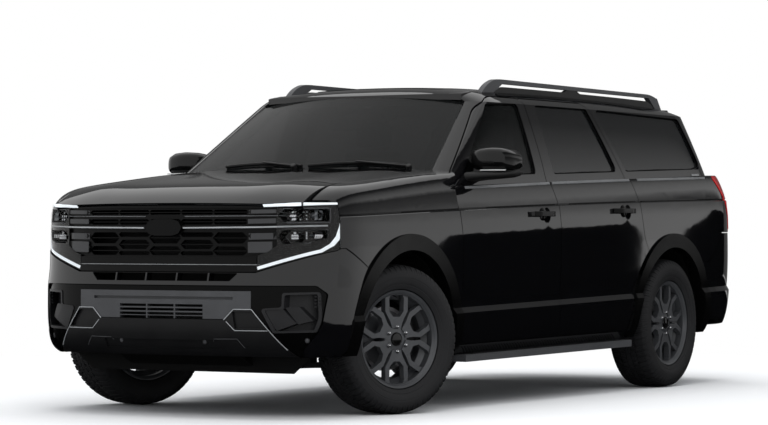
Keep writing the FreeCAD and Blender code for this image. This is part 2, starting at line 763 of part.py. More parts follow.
def make_front_bumper():
    """Body-colour bumper from the lamps down, open for the intake and the black mouth."""
    body = nose_wall(0, 48)
    ahead = body.common(front_prism([(-1200, 905), (1200, 905), (1200, 300), (-1200, 300)], -2900, -1900))
    below = front_outline([(LAMP_FOOT[0], LAMP_FOOT[1] - 6), (LAMP_HEEL[0], LAMP_HEEL[1] - 6), (1004, 950)])
    keep = front_prism([*below[:3], (1004, 300), (-1004, 300), *below[3:]], -2900, -2440)
    sides = side_prism([(-2441, 902), (-2240, 788), (-1800, 640), (-1800, 300), (-2441, 300)], -1200, 1200)
    shape = ahead.common(join([keep, sides]))
    shape = shape.cut(through(front_outline(MOUTH), 24))
    slots = [-INTAKE[0][0]] + INTAKE_VANES + [INTAKE[0][0]]
    intake = nose_wall(-10, 60).common(through(front_outline(INTAKE), 4))
    for x0, x1 in zip(slots, slots[1:]):
        shape = shape.cut(intake.common(box(x0 + VANE, x1 - VANE, -2950, -2300, 700, 800)))
    for cutter in (arch_cut(FRONT_ARCH_Y, WALL_CUT), mirrored(arch_cut(FRONT_ARCH_Y, WALL_CUT))):
        shape = shape.cut(cutter)
    return shape


def make_bumper_mask():
    """The black lower face between the bumper, the plate panel, the fog pockets and the skid plate."""
    shape = nose_wall(12, 60).common(through(grown(front_outline(MOUTH), -SEAT_GAP), 24))
    shape = shape.cut(through(grown(front_outline(PLATE_PANEL), SEAT_GAP)))
    pocket = through(grown(FOG_POCKET, SEAT_GAP), 14)
    shape = shape.cut(pocket).cut(mirrored(pocket))
    below = front_outline([*SKID_OUTLINE, (SKID_OUTLINE[-1][0], 300)])
    shape = shape.cut(through(grown(below, SEAT_GAP)))
    for cutter in (arch_cut(FRONT_ARCH_Y, WALL_CUT), mirrored(arch_cut(FRONT_ARCH_Y, WALL_CUT))):
        shape = shape.cut(cutter)
    return shape


def make_plate_panel():
    """A grey panel with a slot, a shallow plate seat and the barred lower grille."""
    shape = nose_wall(8, 40).common(through(front_outline(PLATE_PANEL)))
    shape = shape.cut(nose_wall(-5, 22).common(through(front_outline([(452, 651), (452, 636)]))))
    for z in (603.0, 581.0, 559.0, 540.5):
        for x0, x1 in ((-270, -94), (-86, 86), (94, 270)):
            shape = shape.cut(box(x0, x1, -2950, -2300, z - 7, z + 7))
    return shape


def make_fog_bezels():
    """Left fog pocket: a back wall, a framed pocket, two slanted deflectors and louvres."""
    hole = through(FOG_POCKET, 14)
    ring_shape = nose_wall(8, 62).common(hole)
    ring_shape = ring_shape.cut(through([(731, 662), (877, 667), (882, 536), (862, 478), (686, 473), (628, 584),
                                         (728, 586)], 8))
    back = nose_wall(54, 62).common(hole)
    near = nose_wall(14, 62).common(through([(606, 588), (716, 594), (784, 512), (690, 474)]))
    far = nose_wall(26, 62).common(through([(724, 597), (792, 600), (850, 526), (786, 508)]))
    fins = [nose_wall(20, 62).common(through([(858, z), (884, z), (884, z + 9), (858, z + 9)]))
            for z in (596, 614, 632, 650)]
    return join([ring_shape, back, near, far] + fins)


def make_skid_plate():
    """The grey lower panel with a sunk hexagon each side."""
    outline = front_outline(SKID_OUTLINE)
    shape = nose_wall(5, 44).common(through(outline))
    sunk = nose_wall(-5, 20).common(through(SKID_RECESS, 4))
    shape = shape.cut(sunk).cut(mirrored(sunk))
    notch = through(front_outline([(384, 420), (372, 374)]))
    return shape.cut(nose_wall(-5, 14).common(notch))


CELL_PITCH = 205.0
CELL_HALF = 106.0
CELL_POINT = 31.0
EVEN_ROWS = [(1100, 13), (1049, 15), (963, 30), (894, 24)]
ODD_ROWS = [(1100, 13), (1049, 15), (981, 13), (928, 25), (881, 11)]


def cell(x, z, half_height):
    tip = min(CELL_POINT, half_height * 1.1)
    return through([(x - CELL_HALF, z), (x - CELL_HALF + tip, z + half_height),
                    (x + CELL_HALF - tip, z + half_height), (x + CELL_HALF, z),
                    (x + CELL_HALF - tip, z - half_height), (x - CELL_HALF + tip, z - half_height)])


def grille_cells():
    cells = []
    for column in range(-2, 3):
        for z, half_height in (ODD_ROWS if column % 2 else EVEN_ROWS):
            cells.append(cell(column * CELL_PITCH, z, half_height))
    return cells


def make_grille():
    """A surround with upper and lower bars, staggered long hexagonal cells, a blade panel at
    each end and a plain plate in the middle."""
    half = [(LAMP_INNER_X - 3, FRAME_HIGH_Z), (LAMP_INNER_X - 3, FRAME_HIGH_FOOT_Z - 3),
            (LAMP_POD_X - 1, FRAME_HIGH_FOOT_Z - 3), (LAMP_POD_X - 1, 914), (622, 881),
            (LAMP_FOOT[0] - 1, FRAME_LOW_Z), (LAMP_FOOT[0] - 3, LAMP_FOOT[1])]
    outline = front_outline(half)
    web = nose_wall(22, 46).common(through(outline)).cut(grille_cells())
    bands = [front_outline([(603, FRAME_HIGH_Z), (603, FRAME_HIGH_FOOT_Z)]),
             front_outline([(575, FRAME_LOW_Z - 6), (571, LAMP_FOOT[1])]),
             front_outline([(675, BRIGHT_BAR_Z + 8), (675, BRIGHT_BAR_Z - 7)])]
    bars = [nose_wall(6, 46).common(through(b)).common(through(outline)) for b in bands]
    low_step = front_outline([(574, 826), (573, 812)])
    bars[1] = bars[1].cut(nose_wall(-5, 12).common(through(low_step)))
    wires = [nose_wall(28, 44).common(through(front_outline([(520, z + 2), (520, z - 2)])))
             for z in (1100, 1075, 1049, 995, 963, 928, 894)]
    blades = []
    for points in ([(522, 1101), (536, 1114), (674, 1114), (674, 1088), (536, 1088)],
                   [(512, 1051), (536, 1066), (674, 1066), (674, 1036), (536, 1036)],
                   [(520, 974), (536, 989), (674, 989), (660, 958), (536, 958)],
                   [(510, 912), (536, 946), (674, 946), (674, 922), (640, 900), (584, 878), (536, 878)]):
        blade = nose_wall(12, 44).common(through(points))
        blades += [blade, mirrored(blade)]
    plate = nose_wall(0, 46).common(
        front_prism(front_outline([(60, 1063), (98, 1052), (120, 1019), (98, 986), (60, 975)]), -2950, -2300, 20))
    return join([web] + bars + wires + blades + [plate])


LAMP_CASE = [(LAMP_INNER_X, LAMP_TOP_Z), (1100, LAMP_TOP_Z), (1100, 936), (LAMP_HEEL[0], LAMP_HEEL[1]),
             (LAMP_FOOT[0], LAMP_FOOT[1] + 2), (LAMP_FOOT[0] + 4, FRAME_LOW_Z + 2), (626, 886),
             (LAMP_POD_X + 2, 920), (LAMP_POD_X + 2, FRAME_HIGH_FOOT_Z), (LAMP_INNER_X, FRAME_HIGH_FOOT_Z)]
HIGH_POD = [(682, 1081), (712, 1115), (914, 1117), (918, 1046), (720, 1044)]
LOW_POD = [(682, 968), (712, 1003), (912, 1006), (905, 962), (836, 936), (712, 932)]
HIGH_STRIP = [(LAMP_INNER_X + 3, 1125), (LAMP_INNER_X + 3, 1146), (962, 1156), (962, 1141)]
LOW_STRIP_PATH = [(580, 803), (884, 895), (922, 927), (942, 968), (952, 1022), (956, 1070)]
STRIP_WIDTH = 16.0
LENS = 3.0


def ribbon(path, width):
    """The outline of a band of one width along a path in the front view."""
    one, other = [], []
    for i, (x, z) in enumerate(path):
        ax, az = path[max(i - 1, 0)]
        bx, bz = path[min(i + 1, len(path) - 1)]
        length = math.hypot(bx - ax, bz - az)
        nx, nz = -(bz - az) / length * width / 2, (bx - ax) / length * width / 2
        one.append((x + nx, z + nz))
        other.append((x - nx, z - nz))
    return one + other[::-1]


def strips(grow=0.0):
    low = ribbon(LOW_STRIP_PATH, STRIP_WIDTH + 2 * grow)
    high = [(x, z + math.copysign(grow, i % 3 - 0.5)) for i, (x, z) in enumerate(HIGH_STRIP)]
    return [front_prism(low, -2950, LAMP_REAR_Y), front_prism(high, -2950, LAMP_REAR_Y)]


def make_headlamp():
    """Left lamp case with its two pods, each with two projectors, and channels for the light strips."""
    case = front_prism(LAMP_CASE, -2950, LAMP_REAR_Y)
    shape = nose_wall(8, 104).common(case)
    pods = [HIGH_POD, LOW_POD]
    for pod in pods:
        shape = shape.cut(nose_wall(-5, 74).common(through(pod, 5)))
    for strip in strips(SEAT_GAP):
        shape = shape.cut(nose_wall(-5, 18).common(strip))
    bowls = []
    for (x, z, reach) in ((752, 1081, 46), (850, 1082, 62), (760, 969, 46), (858, 975, 66)):
        y = nose_y(x)
        bowl = Part.makeCone(30, 20, 40, V(x, y + reach + 36, z), V(0, -1, 0))
        bowls.append(bowl)
    shape = join([shape] + [b.common(nose_wall(20, 90)) for b in bowls])
    return max(shape.cut(hood_room()).Solids, key=lambda s: s.Volume)


def make_light_strips():
    bands = [nose_wall(5, 17).common(s) for s in strips()]
    return [b.cut(hood_room()) for b in bands]


def make_lamp_lens():
    shape = nose_wall(1, 1 + LENS)
    return shape.common(front_prism(LAMP_CASE, -2950, LAMP_REAR_Y)).cut(hood_room())


def make_rear_bumper():
    body = end_wall(tail_end_levels(), 0, 50, tail=True)
    outline = [(REAR_AXLE_Y, 700), *[(y, z - 4) for y, z in TAIL_BUMPER_SIDE], (2900, 988), (2900, 330),
               (2200, 425), (1788, 344), (REAR_AXLE_Y, 344)]
    shape = body.common(side_prism(outline, -1200, 1200))
    shape = shape.cut(box(-LIFTGATE_X - 6, LIFTGATE_X + 6, 2200, 2900, LIFTGATE_BOTTOM_Z - 6, 1500))
    for cutter in (arch_cut(REAR_AXLE_Y, WALL_CUT), mirrored(arch_cut(REAR_AXLE_Y, WALL_CUT))):
        shape = shape.cut(cutter)
    return shape


def make_tail_lamp():
    lens = body_wall(tail_levels(), -2, 70)
    inner = shrink(LAMP_OUTLINE, 1)
    return lens.common(side_prism(inner, LIFTGATE_X + 8, 1200, 14))


def make_flare(axle_y):
    rim = body_wall(lower_levels() + shoulder_levels(), -FLARE_PROUD, FLARE_DEPTH)
    ring_shape = arch_cut(axle_y, ARCH_RADIUS + FLARE_WIDTH).cut(arch_cut(axle_y, ARCH_RADIUS))
    return rim.common(ring_shape).common(box(500, 1200, -3000, 3000, 335, 1200))


def make_liner(axle_y):
    """The wheel housing: a half tube over the wheel, closed towards the cabin above the chassis."""
    x0, x1 = LINER_X, half_width(axle_y) - FLARE_DEPTH - 6
    tube = arch_cut(axle_y, ARCH_RADIUS + LINER, x0, x1)
    tube = tube.cut(arch_cut(axle_y, ARCH_RADIUS, x0 + LINER, x1 + 5))
    return tube.common(join([box(x0, 1200, axle_y - 600, axle_y + 600, 700, 1200),
                             box(700, 1200, axle_y - 600, axle_y + 600, 480, 1200)]))


def revolve(points, centre, turns=360.0):
    """A solid of revolution about X from (x, r) points."""
    wire = Part.makePolygon([V(x, 0, r) for x, r in points + points[:1]])
    solid = Part.Face(wire).revolve(V(0, 0, 0), V(1, 0, 0), turns)
    solid.translate(centre)
    return solid


def make_tyre(centre):
    r, w, rim = TYRE_DIAMETER / 2, TYRE_WIDTH / 2, RIM_DIAMETER / 2
    bead, heel = rim - 10, RIM_WIDTH / 2 - 20.6
    half = [(heel, bead), (heel + 6, rim + 2), (heel + 26, rim + 6), (w - 3, r - 98), (w, r - 74), (w - 5, r - 38),
            (w - 24, r - 10), (w - 58, r - 2), (0, r)]
    outer = half + [(-x, q) for x, q in reversed(half[:-1])]
    inner = [(-(heel - 24), bead), (-(heel - 8), bead + 16), (-(w - 14), r - 78), (-(w - 38), r - 20),
             (w - 38, r - 20), (w - 14, r - 78), (heel - 8, bead + 16), (heel - 24, bead)]
    return revolve(outer + inner, centre)


def make_wheel(centre):
    """Rim barrel, hub and twin-spoke loops, with the disc behind."""
    r, w = RIM_DIAMETER / 2, RIM_WIDTH / 2
    seat = r - 10.4
    barrel = [(w, r), (w - 12, r), (w - 20, seat), (w - 60, seat), (30, seat - 26), (-30, seat - 26),
              (-w + 40, seat), (-w + 14, seat), (-w + 8, r), (-w, r), (-w, r - 8), (-w + 12, seat - 14),
              (-w + 40, seat - 14), (-30, seat - 40), (30, seat - 40), (w - 60, seat - 14), (w - 18, seat - 14),
              (w - 6, r - 12)]
    rim = revolve(barrel, V(0, 0, 0))
    hub = revolve([(38, 0), (82, 0), (86, 30), (80, 78), (66, 84), (38, 84)], V(0, 0, 0))
    loop_out = [(60, -30), (98, -44), (152, -79), (262, -79), (262, 79), (152, 79), (98, 44), (60, 30)]
    loop_in = [(122, -23), (150, -49), (224, -52), (244, -40), (244, 40), (224, 52), (150, 49), (122, 23)]
    spokes = []
    for k in range(SPOKE_PAIRS):
        outer = Part.Face(rounded([V(52, a, b) for b, a in loop_out], 8)).extrude(V(36, 0, 0))
        hole = Part.Face(rounded([V(40, a, b) for b, a in loop_in], 8)).extrude(V(60, 0, 0))
        spoke = outer.cut(hole)
        spoke.rotate(V(0, 0, 0), V(1, 0, 0), k * 360.0 / SPOKE_PAIRS)
        spokes.append(spoke)
    limit = revolve([(30, 0), (100, 0), (100, r - 16), (30, r - 16)], V(0, 0, 0))
    disc = revolve([(-40, 26), (38, 26), (38, 84), (0, 84), (-10, DISC_DIAMETER / 2),
                    (-40, DISC_DIAMETER / 2), (-40, 90), (-20, 84), (-20, 60), (-40, 60)], V(0, 0, 0))
    shape = join([rim, hub.cut(revolve([(0, 0), (70, 0), (70, 25), (0, 25)], V(0, 0, 0)))]
                 + [s.common(limit) for s in spokes] + [disc])
    shape.translate(centre)
    return shape


def turned(shape, side):
    """Turn a front-wheel piece about its steering axis to the angle shown."""
    x = side * (WHEEL_X - KINGPIN_OFFSET)
    out = shape.copy()
    out.rotate(V(x, FRONT_AXLE_Y, 0), V(0, 0, 1), STEER_SHOWN)
    return out


def make_knuckle():
    """Left knuckle with its spindle and ball-joint bores, drawn straight ahead."""
    x, y, z = WHEEL_X, FRONT_AXLE_Y, AXLE_Z
    king = x - KINGPIN_OFFSET
    spindle = rod(V(king, y, z), V(x + 66, y, z), SPINDLE_RADIUS)
    upright = box(king - 26, king + 26, y - 42, y + 42, z - KNUCKLE_HALF, z + KNUCKLE_HALF)
    bore = STUD_RADIUS + SPINDLE_CLEARANCE
    shape = join([spindle, upright])
    shape = shape.cut(rod(V(king, y, z - KNUCKLE_HALF - 1), V(king, y, z - KNUCKLE_HALF + 45), bore))
    return shape.cut(rod(V(king, y, z + KNUCKLE_HALF + 1), V(king, y, z + KNUCKLE_HALF - 45), bore))


def make_front_arm(z_mid, up):
    """A wishbone from the frame to the ball joint in the knuckle."""
    king, y = WHEEL_X - KINGPIN_OFFSET, FRONT_AXLE_Y
    arm = plan_prism([(405, y - 190), (470, y - 190), (king + 24, y - 34), (king + 24, y + 34), (470, y + 190),
                      (405, y + 190), (405, y + 118), (640, y), (405, y - 118)],
                     z_mid - ARM_HALF, z_mid + ARM_HALF, 10)
    tip = AXLE_Z + KNUCKLE_HALF - 40 if up else AXLE_Z - KNUCKLE_HALF + 40
    return join([arm, rod(V(king, y, z_mid), V(king, y, tip), STUD_RADIUS)])


def make_rear_axle():
    """Rear hub carriers on a cross tube with the final drive in its middle."""
    z = AXLE_Z
    x = WHEEL_X - KINGPIN_OFFSET
    pieces = [rod(V(-x, REAR_AXLE_Y, z), V(x, REAR_AXLE_Y, z), 44.0),
              rod(V(-WHEEL_X - 66, REAR_AXLE_Y, z), V(WHEEL_X + 66, REAR_AXLE_Y, z), SPINDLE_RADIUS)]
    final_drive = rod(V(-75, REAR_AXLE_Y, z), V(145, REAR_AXLE_Y, z), 128.0)
    mounts = [box(s * 432 - 35, s * 432 + 35, REAR_AXLE_Y - 60, REAR_AXLE_Y + 60, z, RAIL_Z) for s in (-1, 1)]
    return join(pieces + [final_drive] + mounts)


RAIL_Z = 480.0
RAIL_HEIGHT = 90.0
ARM_HALF = 15.0
KNUCKLE_HALF = 118.0
STUD_RADIUS = 12.0


def make_suspension():
    lower = make_front_arm(AXLE_Z - 148.0, False)
    upper = make_front_arm(RAIL_Z + RAIL_HEIGHT + ARM_HALF, True)
    for y0, y1 in ((FRONT_AXLE_Y - 90, FRONT_AXLE_Y - 20), (FRONT_AXLE_Y + 20, FRONT_AXLE_Y + 90)):
        upper = upper.cut(box(792, 900, y0, y1, RAIL_Z, 900))
        lower = lower.cut(box(792, 900, y0, y1, 200, RAIL_Z))
    return Part.makeCompound([lower, mirrored(lower), upper, mirrored(upper), make_rear_axle()])


def make_frame():
    """Ladder frame: two box rails, cross members and the front suspension brackets."""
    top = RAIL_Z + RAIL_HEIGHT
    rail = box(395, 470, -2560, 2560, RAIL_Z, top)
    rail = rail.cut(box(403, 462, -2552, 2552, RAIL_Z + 8, top - 8))
    cross = [box(-400, 400, y, y + 90, RAIL_Z + 10, top - 10) for y in (-2540, -1480, -300, 900, 2200)]
    y, foot = FRONT_AXLE_Y, AXLE_Z - 148.0 + ARM_HALF
    brackets = [box(410, 465, y0, y0 + 72, foot, RAIL_Z) for y0 in (y - 190, y + 118)]
    sides = [rail] + brackets
    return join(sides + [mirrored(s) for s in sides] + cross)


def make_floor(neighbours):
    top = RAIL_Z + RAIL_HEIGHT
    floor = box(-812, 812, -1290, 2150, top, top + 26).fuse(box(-700, 700, 2150, 2560, top, top + 26))
    firewall = box(-640, 640, -1330, -1290, top, 1330).fuse(box(-772, 772, -1330, -1290, top, 1230))
    for piece in neighbours:
        firewall = firewall.cut(piece)
    deck = box(-560, 560, 2000, 2540, top + 20, top + 34)
    shape = join([floor, biggest(firewall), deck])
    for axle_y in (FRONT_ARCH_Y, REAR_AXLE_Y):
        cutter = arch_cut(axle_y, ARCH_RADIUS + LINER + 1, LINER_X - 1)
        shape = shape.cut(cutter).cut(mirrored(cutter))
    return max(shape.Solids, key=lambda s: s.Volume)


def make_cowl(screen):
    """The black panel between the hood and the windscreen."""
    def rows(depth):
        out = []
        for k in (0.0, 0.5, 1.0):
            row = []
            for u in (-1.0, -0.7, -0.35, 0.0, 0.35, 0.7, 1.0):
                x = 798.0 * u
                front = hood_back(x) + SHUT_GAP
                back = mix(SCREEN_FOOT_MID[1], SCREEN_FOOT[1], u * u) + 24
                row.append(V(x, mix(front, back, k), hood_z(x, hood_back(x)) - 14 + 4 * k - depth))
            out.append(row)
        return out
    return wall([rows(0.0)], [rows(22.0)]).cut(screen)


def make_engine():
    """Engine block on mounting arms that rest on the frame rails."""
    top = RAIL_Z + RAIL_HEIGHT
    block = box(-310, 310, -2380, -1640, top + 14, 1085)
    arms = [box(s * 387 - 78, s * 387 + 78, -2130, -2040, top, top + 32) for s in (-1, 1)]
    return join([block] + arms)


def make_carrier(neighbours):
    """The front-end carrier: radiator core in a frame that stands on the rails and holds
    the lamps, the grille and the bumper."""
    front, inside = -2560, nose_wall(46 + SEAT_GAP, 260)
    core = box(-560, 560, front - 6, front + 40, RAIL_Z + RAIL_HEIGHT, 1085)
    top_bar = box(-880, 880, -2760, front + 30, 1060, 1090).common(inside)
    low_bar = box(-930, 930, -2790, front + 30, 590, 640).common(nose_wall(60 + SEAT_GAP, 260))
    feet = [box(s * 432 - 32, s * 432 + 32, front - 60, front, RAIL_Z, RAIL_Z + 160) for s in (-1, 1)]
    shape = join([core, top_bar, low_bar] + feet)
    return biggest(trimmed(shape, *neighbours))


def make_under_shield():
    """The grey shield below the engine, hung from the rails and rising to the bumper."""
    plate = side_prism([(-2590, 330), (-2430, 252), (-1700, 236), (-1700, 246), (-2425, 262), (-2585, 340)],
                       -400, 400)
    hangers = [box(s * 399 - 9, s * 399 + 9, y, y + 40, 250, RAIL_Z) for s in (-1, 1) for y in (-2390, -1760)]
    return join([plate] + hangers)


def make_exhaust():
    z = RAIL_Z - 52.0
    x = -215.0
    runs = [V(x, -1600, z), V(x, 250, z)]
    front = rod(runs[0], runs[1], 34)
    muffler = box(x - 125, x + 125, 240, 950, z - 52, z + 52)
    muffler = muffler.makeFillet(44, [e for e in muffler.Edges if abs(e.BoundBox.YLength) > 600])
    rear = rod(V(x, 940, z - 20), V(x - 20, 1160, z - 102), 30)
    tail = rod(V(x - 20, 1160, z - 102), V(x - 20, 2300, z - 102), 30)
    hanger = box(x - 28, x - 12, 2230, 2260, z - 90, RAIL_Z + 10 - SEAT_GAP)
    return join([front, muffler, rear, tail, hanger])


def make_tank():
    z = RAIL_Z
    tank = box(80, 395, -180, 880, z - 132, z + 18)
    return tank.makeFillet(30, [e for e in tank.Edges if e.BoundBox.ZMax < z + 17])


def make_dashboard():
    return side_prism([(-1290, 880), (-1290, 1235), (-1270, 1262), (-1120, 1296), (-905, 1252), (-842, 1150), (-905, 1000),
                       (-1090, 890)], -765, 765, 24)


def make_steering_wheel(dashboard):
    centre = V(400, -742, 1130)
    ring = Part.makeTorus(178, 15)
    hub = Part.makeCylinder(62, 34, V(0, 0, -22))
    arms = [box(-170, 170, -22, 14, -12, 8), box(-20, 20, -170, 0, -12, 8)]
    column = Part.makeCylinder(34, 190, V(0, 0, -200))
    shape = join([ring, hub, column] + arms)
    shape.rotate(V(0, 0, 0), V(1, 0, 0), -66)
    shape.translate(centre)
    return shape.cut(dashboard)


def make_seat(x, y, width, cushion_z=925.0):
    """A seat with its back and head restraint; y is the front edge of the cushion."""
    x0, x1 = x - width / 2, x + width / 2
    base_z = RAIL_Z + RAIL_HEIGHT + 26
    cushion = side_prism([(y, cushion_z - 150), (y - 8, cushion_z - 20), (y + 60, cushion_z + 12),
                          (y + 470, cushion_z - 26), (y + 500, cushion_z - 150)], x0, x1, 28)
    back = side_prism([(y + 430, cushion_z - 60), (y + 540, cushion_z + 320), (y + 590, cushion_z + 560),
                       (y + 680, cushion_z + 560), (y + 680, cushion_z + 300), (y + 590, cushion_z - 100),
                       (y + 470, cushion_z - 140)], x0 + 6, x1 - 6, 26)
    plinth = box(x0 + 50, x1 - 50, y + 60, y + 470, base_z, cushion_z - 100)
    heads = []
    count = max(1, round(width / 560))
    for k in range(count):
        cx = x0 + (k + 0.5) * width / count
        heads.append(side_prism([(y + 590, cushion_z + 600), (y + 606, cushion_z + 745), (y + 690, cushion_z + 745),
                                 (y + 696, cushion_z + 600)], cx - 130, cx + 130, 30))
        heads.append(box(cx - 60, cx + 60, y + 635, y + 660, cushion_z + 540, cushion_z + 620))
    return join([cushion, back, plinth] + heads)


def make_seats():
    seats = []
    for x in (-400.0, 400.0):
        seats.append(make_seat(x, -520.0, 530.0))
        seats.append(make_seat(x, 420.0, 520.0))
    seats.append(make_seat(0.0, 1290.0, 1040.0, 935.0))
    return Part.makeCompound(seats)


def make_board():
    shape = side_prism([(-1215, 262), (905, 281), (905, 323), (-1215, 302)], 862, 1004, 8)
    arms = []
    for y in (-900, 600):
        arms += [box(425, 465, y, y + 60, 288, RAIL_Z), box(440, 880, y, y + 60, 288, 302)]
    return join([shape] + arms)


def make_rail(roof, side):
    rail = side_prism([(-475, 1805), (-400, 1868), (-300, 1903), (-230, 1906), (1820, 1894), (1930, 1870),
                       (1998, 1790), (1900, 1800), (1800, 1872), (-200, 1880), (-330, 1815)], 655, 690, 6)
    return rail.cut(roof).cut(side)


def make_mirror():
    """Left mirror: a rounded head in plan and in the front view, on a short arm."""
    head = side_prism([(-1052, 1352), (-905, 1340), (-888, 1400), (-905, 1462), (-985, 1476), (-1044, 1448),
                       (-1062, 1395)], 940, 1186, 26)
    face = front_prism([(948, 1352), (975, 1338), (1150, 1346), (1182, 1372), (1186, 1430), (1172, 1466),
                        (1120, 1476), (990, 1472), (958, 1440)], -1100, -850, 22)
    plan = plan_prism([(950, -905), (950, -985), (1000, -1030), (1080, -1052), (1150, -1040), (1186, -990),
                       (1186, -890)], 1300, 1500, 24)
    head = head.common(face).common(plan)
    arm = side_prism([(-1040, 1282), (-958, 1282), (-940, 1358), (-1030, 1358)], 915, 1040, 10)
    return join([head, arm])


HANDLE_Y = {"front": (-436.0, -180.0), "rear": (648.0, 904.0)}
HANDLE_Z = {"front": 1101.0, "rear": 1125.0}
HANDLE_HALF = 15.0
HANDLE_REACH = 38.0


def make_handle(which):
    """A pull handle that stands off the door on its two ends."""
    (y0, y1), z = HANDLE_Y[which], HANDLE_Z[which]
    x = half_width((y0 + y1) / 2)
    bar = plan_prism([(x - 16, y0), (x + 16, y0 + 6), (x + HANDLE_REACH, y0 + 40), (x + HANDLE_REACH, y1 - 46),
                      (x + 20, y1 - 4), (x - 16, y1), (x - 16, y1 - 40), (x + 12, y1 - 46),
                      (x + 20, y1 - 70), (x + 20, y0 + 66), (x + 10, y0 + 42), (x - 16, y0 + 36)],
                     z - HANDLE_HALF, z + HANDLE_HALF, 5)
    return bar.common(side_prism([(y0 - 5, z - 11), (y0 + 40, z - 15), (y1, z - 13), (y1, z + 12),
                                  (y0 + 40, z + 15), (y0 - 5, z + 11)], x - 30, x + 60, 6))


def add_handle(panel, which):
    """The door with a round finger recess behind its handle."""
    (y0, y1), z = HANDLE_Y[which], HANDLE_Z[which]
    x = half_width((y0 + y1) / 2)
    y = y1 - 62
    bowl = Part.makeSphere(70, V(x + 48, y, z - 6))
    return join([panel.cut(bowl), make_handle(which)])


FUEL_DOOR = [(1822, 905), (2012, 912), (2018, 1086), (1826, 1080)]
PANEL_LINE = 4.0


def fuel_door_line():
    """The shut line of the fuel door on the left quarter."""
    ring_shape = side_prism(FUEL_DOOR, 800, 1200, 26).cut(side_prism(grown(FUEL_DOOR, -PANEL_LINE), 800, 1200, 22))
    return body_wall(tail_levels(), -8, 6).common(ring_shape)


def trimmed(shape, *neighbours):
    """The shape without what its neighbours fill."""
    for piece in neighbours:
        shape = shape.cut(piece)
    return shape


def freed(shape, fixed, point, axis, angles):
    """The moving shape without what would touch the fixed one on the way open."""
    for angle in angles:
        held = fixed.copy()
        held.rotate(point, axis, -angle)
        shape = shape.cut(held)
    return biggest(shape)


def make_sides():
    """The left pieces that have a mirror image of their own, and what the centre pieces must clear."""
    front, rear = make_doors()
    side = make_body_side()
    rear = freed(rear, side, V(DOOR_HINGE_X, REAR_DOOR_HINGE_Y, 0), V(0, 0, -1), REAR_DOOR_RELIEF)
    panes = {"front_door_glass": pane(FRONT_WINDOW, 30), "rear_door_glass": pane(REAR_WINDOW, 30)}
    mirror = trimmed(make_mirror(), front, panes["front_door_glass"])
    pieces = {"front_door": add_handle(front, "front"), "rear_door": add_handle(rear, "rear"),
              "body_side": side, "mirror": biggest(mirror)}
    pieces.update(panes)
    return pieces


def make_front(screen, side):
    """Everything ahead of the cabin that is seen."""
    room = hood_room()
    door_space = door_room(front_door_outline)
    shapes = {"headlamps": pair(make_headlamp()), "grille": biggest(trimmed(make_grille(), room)),
              "front_bumper": make_front_bumper(), "bumper_mask": make_bumper_mask(),
              "skid_plate": make_skid_plate(), "plate_panel": make_plate_panel(),
              "fog_bezels": pair(make_fog_bezels()), "headlamp_lenses": pair(make_lamp_lens()),
              "light_strips": pair(Part.makeCompound(make_light_strips())),
              "fenders": pair(trimmed(make_fender(), door_space, screen, room, side))}
    lower = [shapes[n] for n in ("front_bumper", "fog_bezels", "skid_plate")]
    shapes["bumper_mask"] = biggest(trimmed(shapes["bumper_mask"], *lower))
    shapes["grille"] = biggest(trimmed(shapes["grille"], shapes["headlamps"]))
    names = ("headlamps", "grille", "front_bumper", "bumper_mask", "fenders", "skid_plate", "plate_panel",
             "fog_bezels")
    shapes["front_carrier"] = make_carrier([shapes[n] for n in names] + [room])
    return shapes


